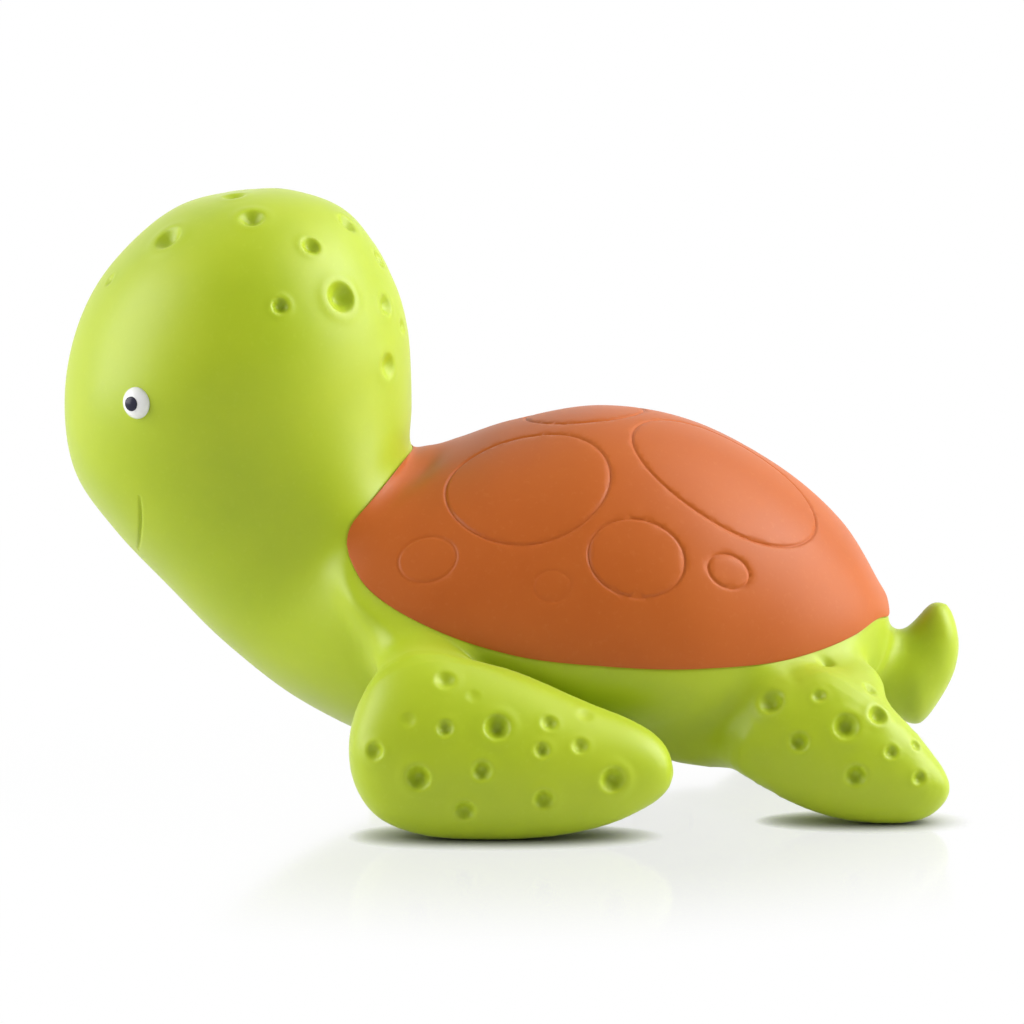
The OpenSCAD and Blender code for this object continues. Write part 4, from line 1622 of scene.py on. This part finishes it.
@dataclass
class Studio:
    """White table and soft studio light."""

    floor_size: float = 60.0
    floor_shift: float = 12.0
    floor_roughness: float = 0.5
    aim: tuple[float, float, float] = (0.0, 0.0, 0.035)
    fill: float = 0.18
    # Backdrop: the directions between which its light sets in, and how high it reaches
    backdrop_from: float = 0.05
    backdrop_until: float = 0.75
    backdrop_top: float = 0.6
    # Table: its mirror image of the toy, its shadow at the flippers, which is real shadow deepened by painted
    # shade from ambient occlusion, and the faint grey round the toy
    bounce: float = 0.74
    mirror: float = 0.22
    mirror_blur: float = 0.12
    mirror_from: float = 0.05
    mirror_until: float = 0.095
    near_white: float = 0.99
    # Reach, strength and samples of the painted contact shadow, which is ambient occlusion that darkens the
    # table
    painted_contact_shadow: float = 0.0045
    painted_shadow_power: float = 4.0
    painted_shadow_samples: int = 8
    white_from: float = 0.07
    white_until: float = 0.25
    lamps: tuple[SoftBox, ...] = (
        SoftBox("left_box", (-0.6, -0.07, 0.28), (0.5, 0.6), 4.7),
        SoftBox("right_box", (0.6, -0.02, 0.34), (0.5, 0.6), 5.6),
        SoftBox("top_box", (0.4, 0.06, 0.55), (0.6, 0.5), 2.4),
    )

    def build(self) -> None:
        """Make the floor, the lamps and the world."""
        self.floor()
        for lamp in self.lamps:
            lamp.build(Vector(self.aim))
        self.world()
        bpy.context.scene.view_settings.view_transform = "Standard"

    @staticmethod
    def seen(nodes: NodeTree) -> bpy.types.NodeSocket:
        """Whether a ray shows the white studio, as rays from the camera, in gloss and through glass do.

        Args:
            nodes: The nodes of the floor or of the world.

        Returns:
            The output that is 1 for such a ray.
        """
        rays = nodes.add("LightPath").outputs
        gloss = nodes.math("MAXIMUM", rays["Is Camera Ray"], rays["Is Glossy Ray"])
        return nodes.math("MAXIMUM", gloss, rays["Is Transmission Ray"])

    def floor(self) -> None:
        """Make the white table top."""
        form = bmesh.new()
        bmesh.ops.create_grid(form, x_segments=1, y_segments=1, size=self.floor_size / 2,
                              matrix=Matrix.Translation((self.floor_shift, 0, 0)))
        mesh = bpy.data.meshes.new("table_top")
        form.to_mesh(mesh)
        form.free()
        mesh.materials.append(self.table_finish())
        table = bpy.data.objects.new("table_top", mesh)
        bpy.context.scene.collection.objects.link(table)

    def table_finish(self) -> bpy.types.Material:
        """White finish with a faint mirror image near the toy, and a shadow where the toy touches it that is
        partly real shadow and partly painted shade from ambient occlusion.

        Returns:
            The material.
        """
        material = bpy.data.materials.new("white_table")
        material.use_nodes = True
        nodes = NodeTree(material.node_tree)
        shader = material.node_tree.nodes["Principled BSDF"]
        shader.inputs["Roughness"].default_value = self.floor_roughness
        glow = nodes.add("Emission", {"Color": (1, 1, 1, 1), "Strength": 1.0})
        polish = nodes.add("BsdfAnisotropic", {"Color": (1, 1, 1, 1), "Roughness": self.mirror_blur})
        place = nodes.add("TexCoord").outputs["Object"]
        away = nodes.add("VectorMath", {0: place}, operation="LENGTH").outputs["Value"]
        mirror = nodes.spread(away, (self.mirror_from, self.mirror_until), (self.mirror, 0.0), "SMOOTHSTEP")
        bright = nodes.add("MixShader", {0: mirror, 1: glow.outputs[0], 2: polish.outputs[0]})
        white = nodes.spread(away, (self.white_from, self.white_until), (self.near_white, 1.0), "SMOOTHSTEP")
        # Painted contact shadow: ambient occlusion near the flippers thins the white glow, so the lit table
        # and its real shadow show there
        painted_contact_shadow = nodes.add("AmbientOcclusion", {"Distance": self.painted_contact_shadow}, samples=self.painted_shadow_samples)
        painted_shade_ao = painted_contact_shadow.outputs["AO"]
        light = nodes.math("MULTIPLY", nodes.math("POWER", painted_shade_ao, self.painted_shadow_power), white)
        seen = self.seen(nodes)
        # Painted shade: for rays from the camera and in gloss, the table's colour is darkened by the
        # occlusion
        shaded = nodes.spread(seen, to=(1.0, painted_shade_ao))
        painted_shadow_tone = nodes.math("MULTIPLY", shaded, self.bounce)
        material.node_tree.links.new(painted_shadow_tone, shader.inputs["Base Color"])
        share = nodes.math("MULTIPLY", seen, light)
        mix = nodes.add("MixShader", {0: share, 1: shader.outputs[0], 2: bright.outputs[0]})
        output = material.node_tree.nodes["Material Output"]
        material.node_tree.links.new(mix.outputs[0], output.inputs["Surface"])
        return material

    def world(self) -> None:
        """Make the white background, which lights the toy brightly from behind and softly from the front."""
        world = bpy.data.worlds.new("white_room")
        bpy.context.scene.world = world
        world.use_nodes = True
        nodes = NodeTree(world.node_tree)
        shade = world.node_tree.nodes["Background"]
        shade.inputs["Color"].default_value = (1, 1, 1, 1)
        toward = nodes.add("SeparateXYZ", {0: nodes.add("TexCoord").outputs["Generated"]}).outputs
        behind = nodes.spread(toward["Y"], (self.backdrop_from, self.backdrop_until), kind="SMOOTHSTEP")
        below = nodes.spread(toward["Z"], (0.0, self.backdrop_top), (1.0, 0.0), "SMOOTHSTEP")
        room = nodes.spread(nodes.math("MULTIPLY", behind, below), to=(self.fill, 1.0))
        strength = nodes.math("MAXIMUM", room, self.seen(nodes))
        world.node_tree.links.new(strength, shade.inputs["Strength"])


def main() -> None:
    """Build the toy piece by piece, then the studio and the camera."""
    logging.basicConfig(level=logging.INFO, format="%(name)s %(message)s")
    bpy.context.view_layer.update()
    view = PhotoView()
    view.build()
    torso = Torso()
    tail = Tail()
    flippers = {Owner.FRONT_LEFT: front_flipper(Side.LEFT), Owner.FRONT_RIGHT: front_flipper(Side.RIGHT),
                Owner.REAR_LEFT: rear_flipper(Side.LEFT), Owner.REAR_RIGHT: rear_flipper(Side.RIGHT)}
    squeaker = Squeaker()
    skin = RubberSkin(torso, tail, flippers, view)
    skin.mark()
    face = tree_of(skin.form)
    shell = Shell(torso, view)
    skin.seat_shell(shell.seat())
    skin.bore(squeaker.seat_cutter())
    skin.cut()

    trunk, _ = skin.piece(Owner.TRUNK, "trunk_skin")
    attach(trunk, "trunk")
    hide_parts("lower_body")
    head, _ = skin.piece(Owner.HEAD, "head_skin")
    torso.dress_head(head)
    tail_skin, _ = skin.piece(Owner.TAIL, "tail_skin")
    tail.dress(tail_skin)
    for owner, flipper in flippers.items():
        flipper.dress(*skin.piece(owner, f"{flipper.body}_skin"))
    shell.build()
    for side in Side:
        Eye(side).build(face, view)
    squeaker.build()
    Studio().build()


if __name__ == "__main__":
    main()
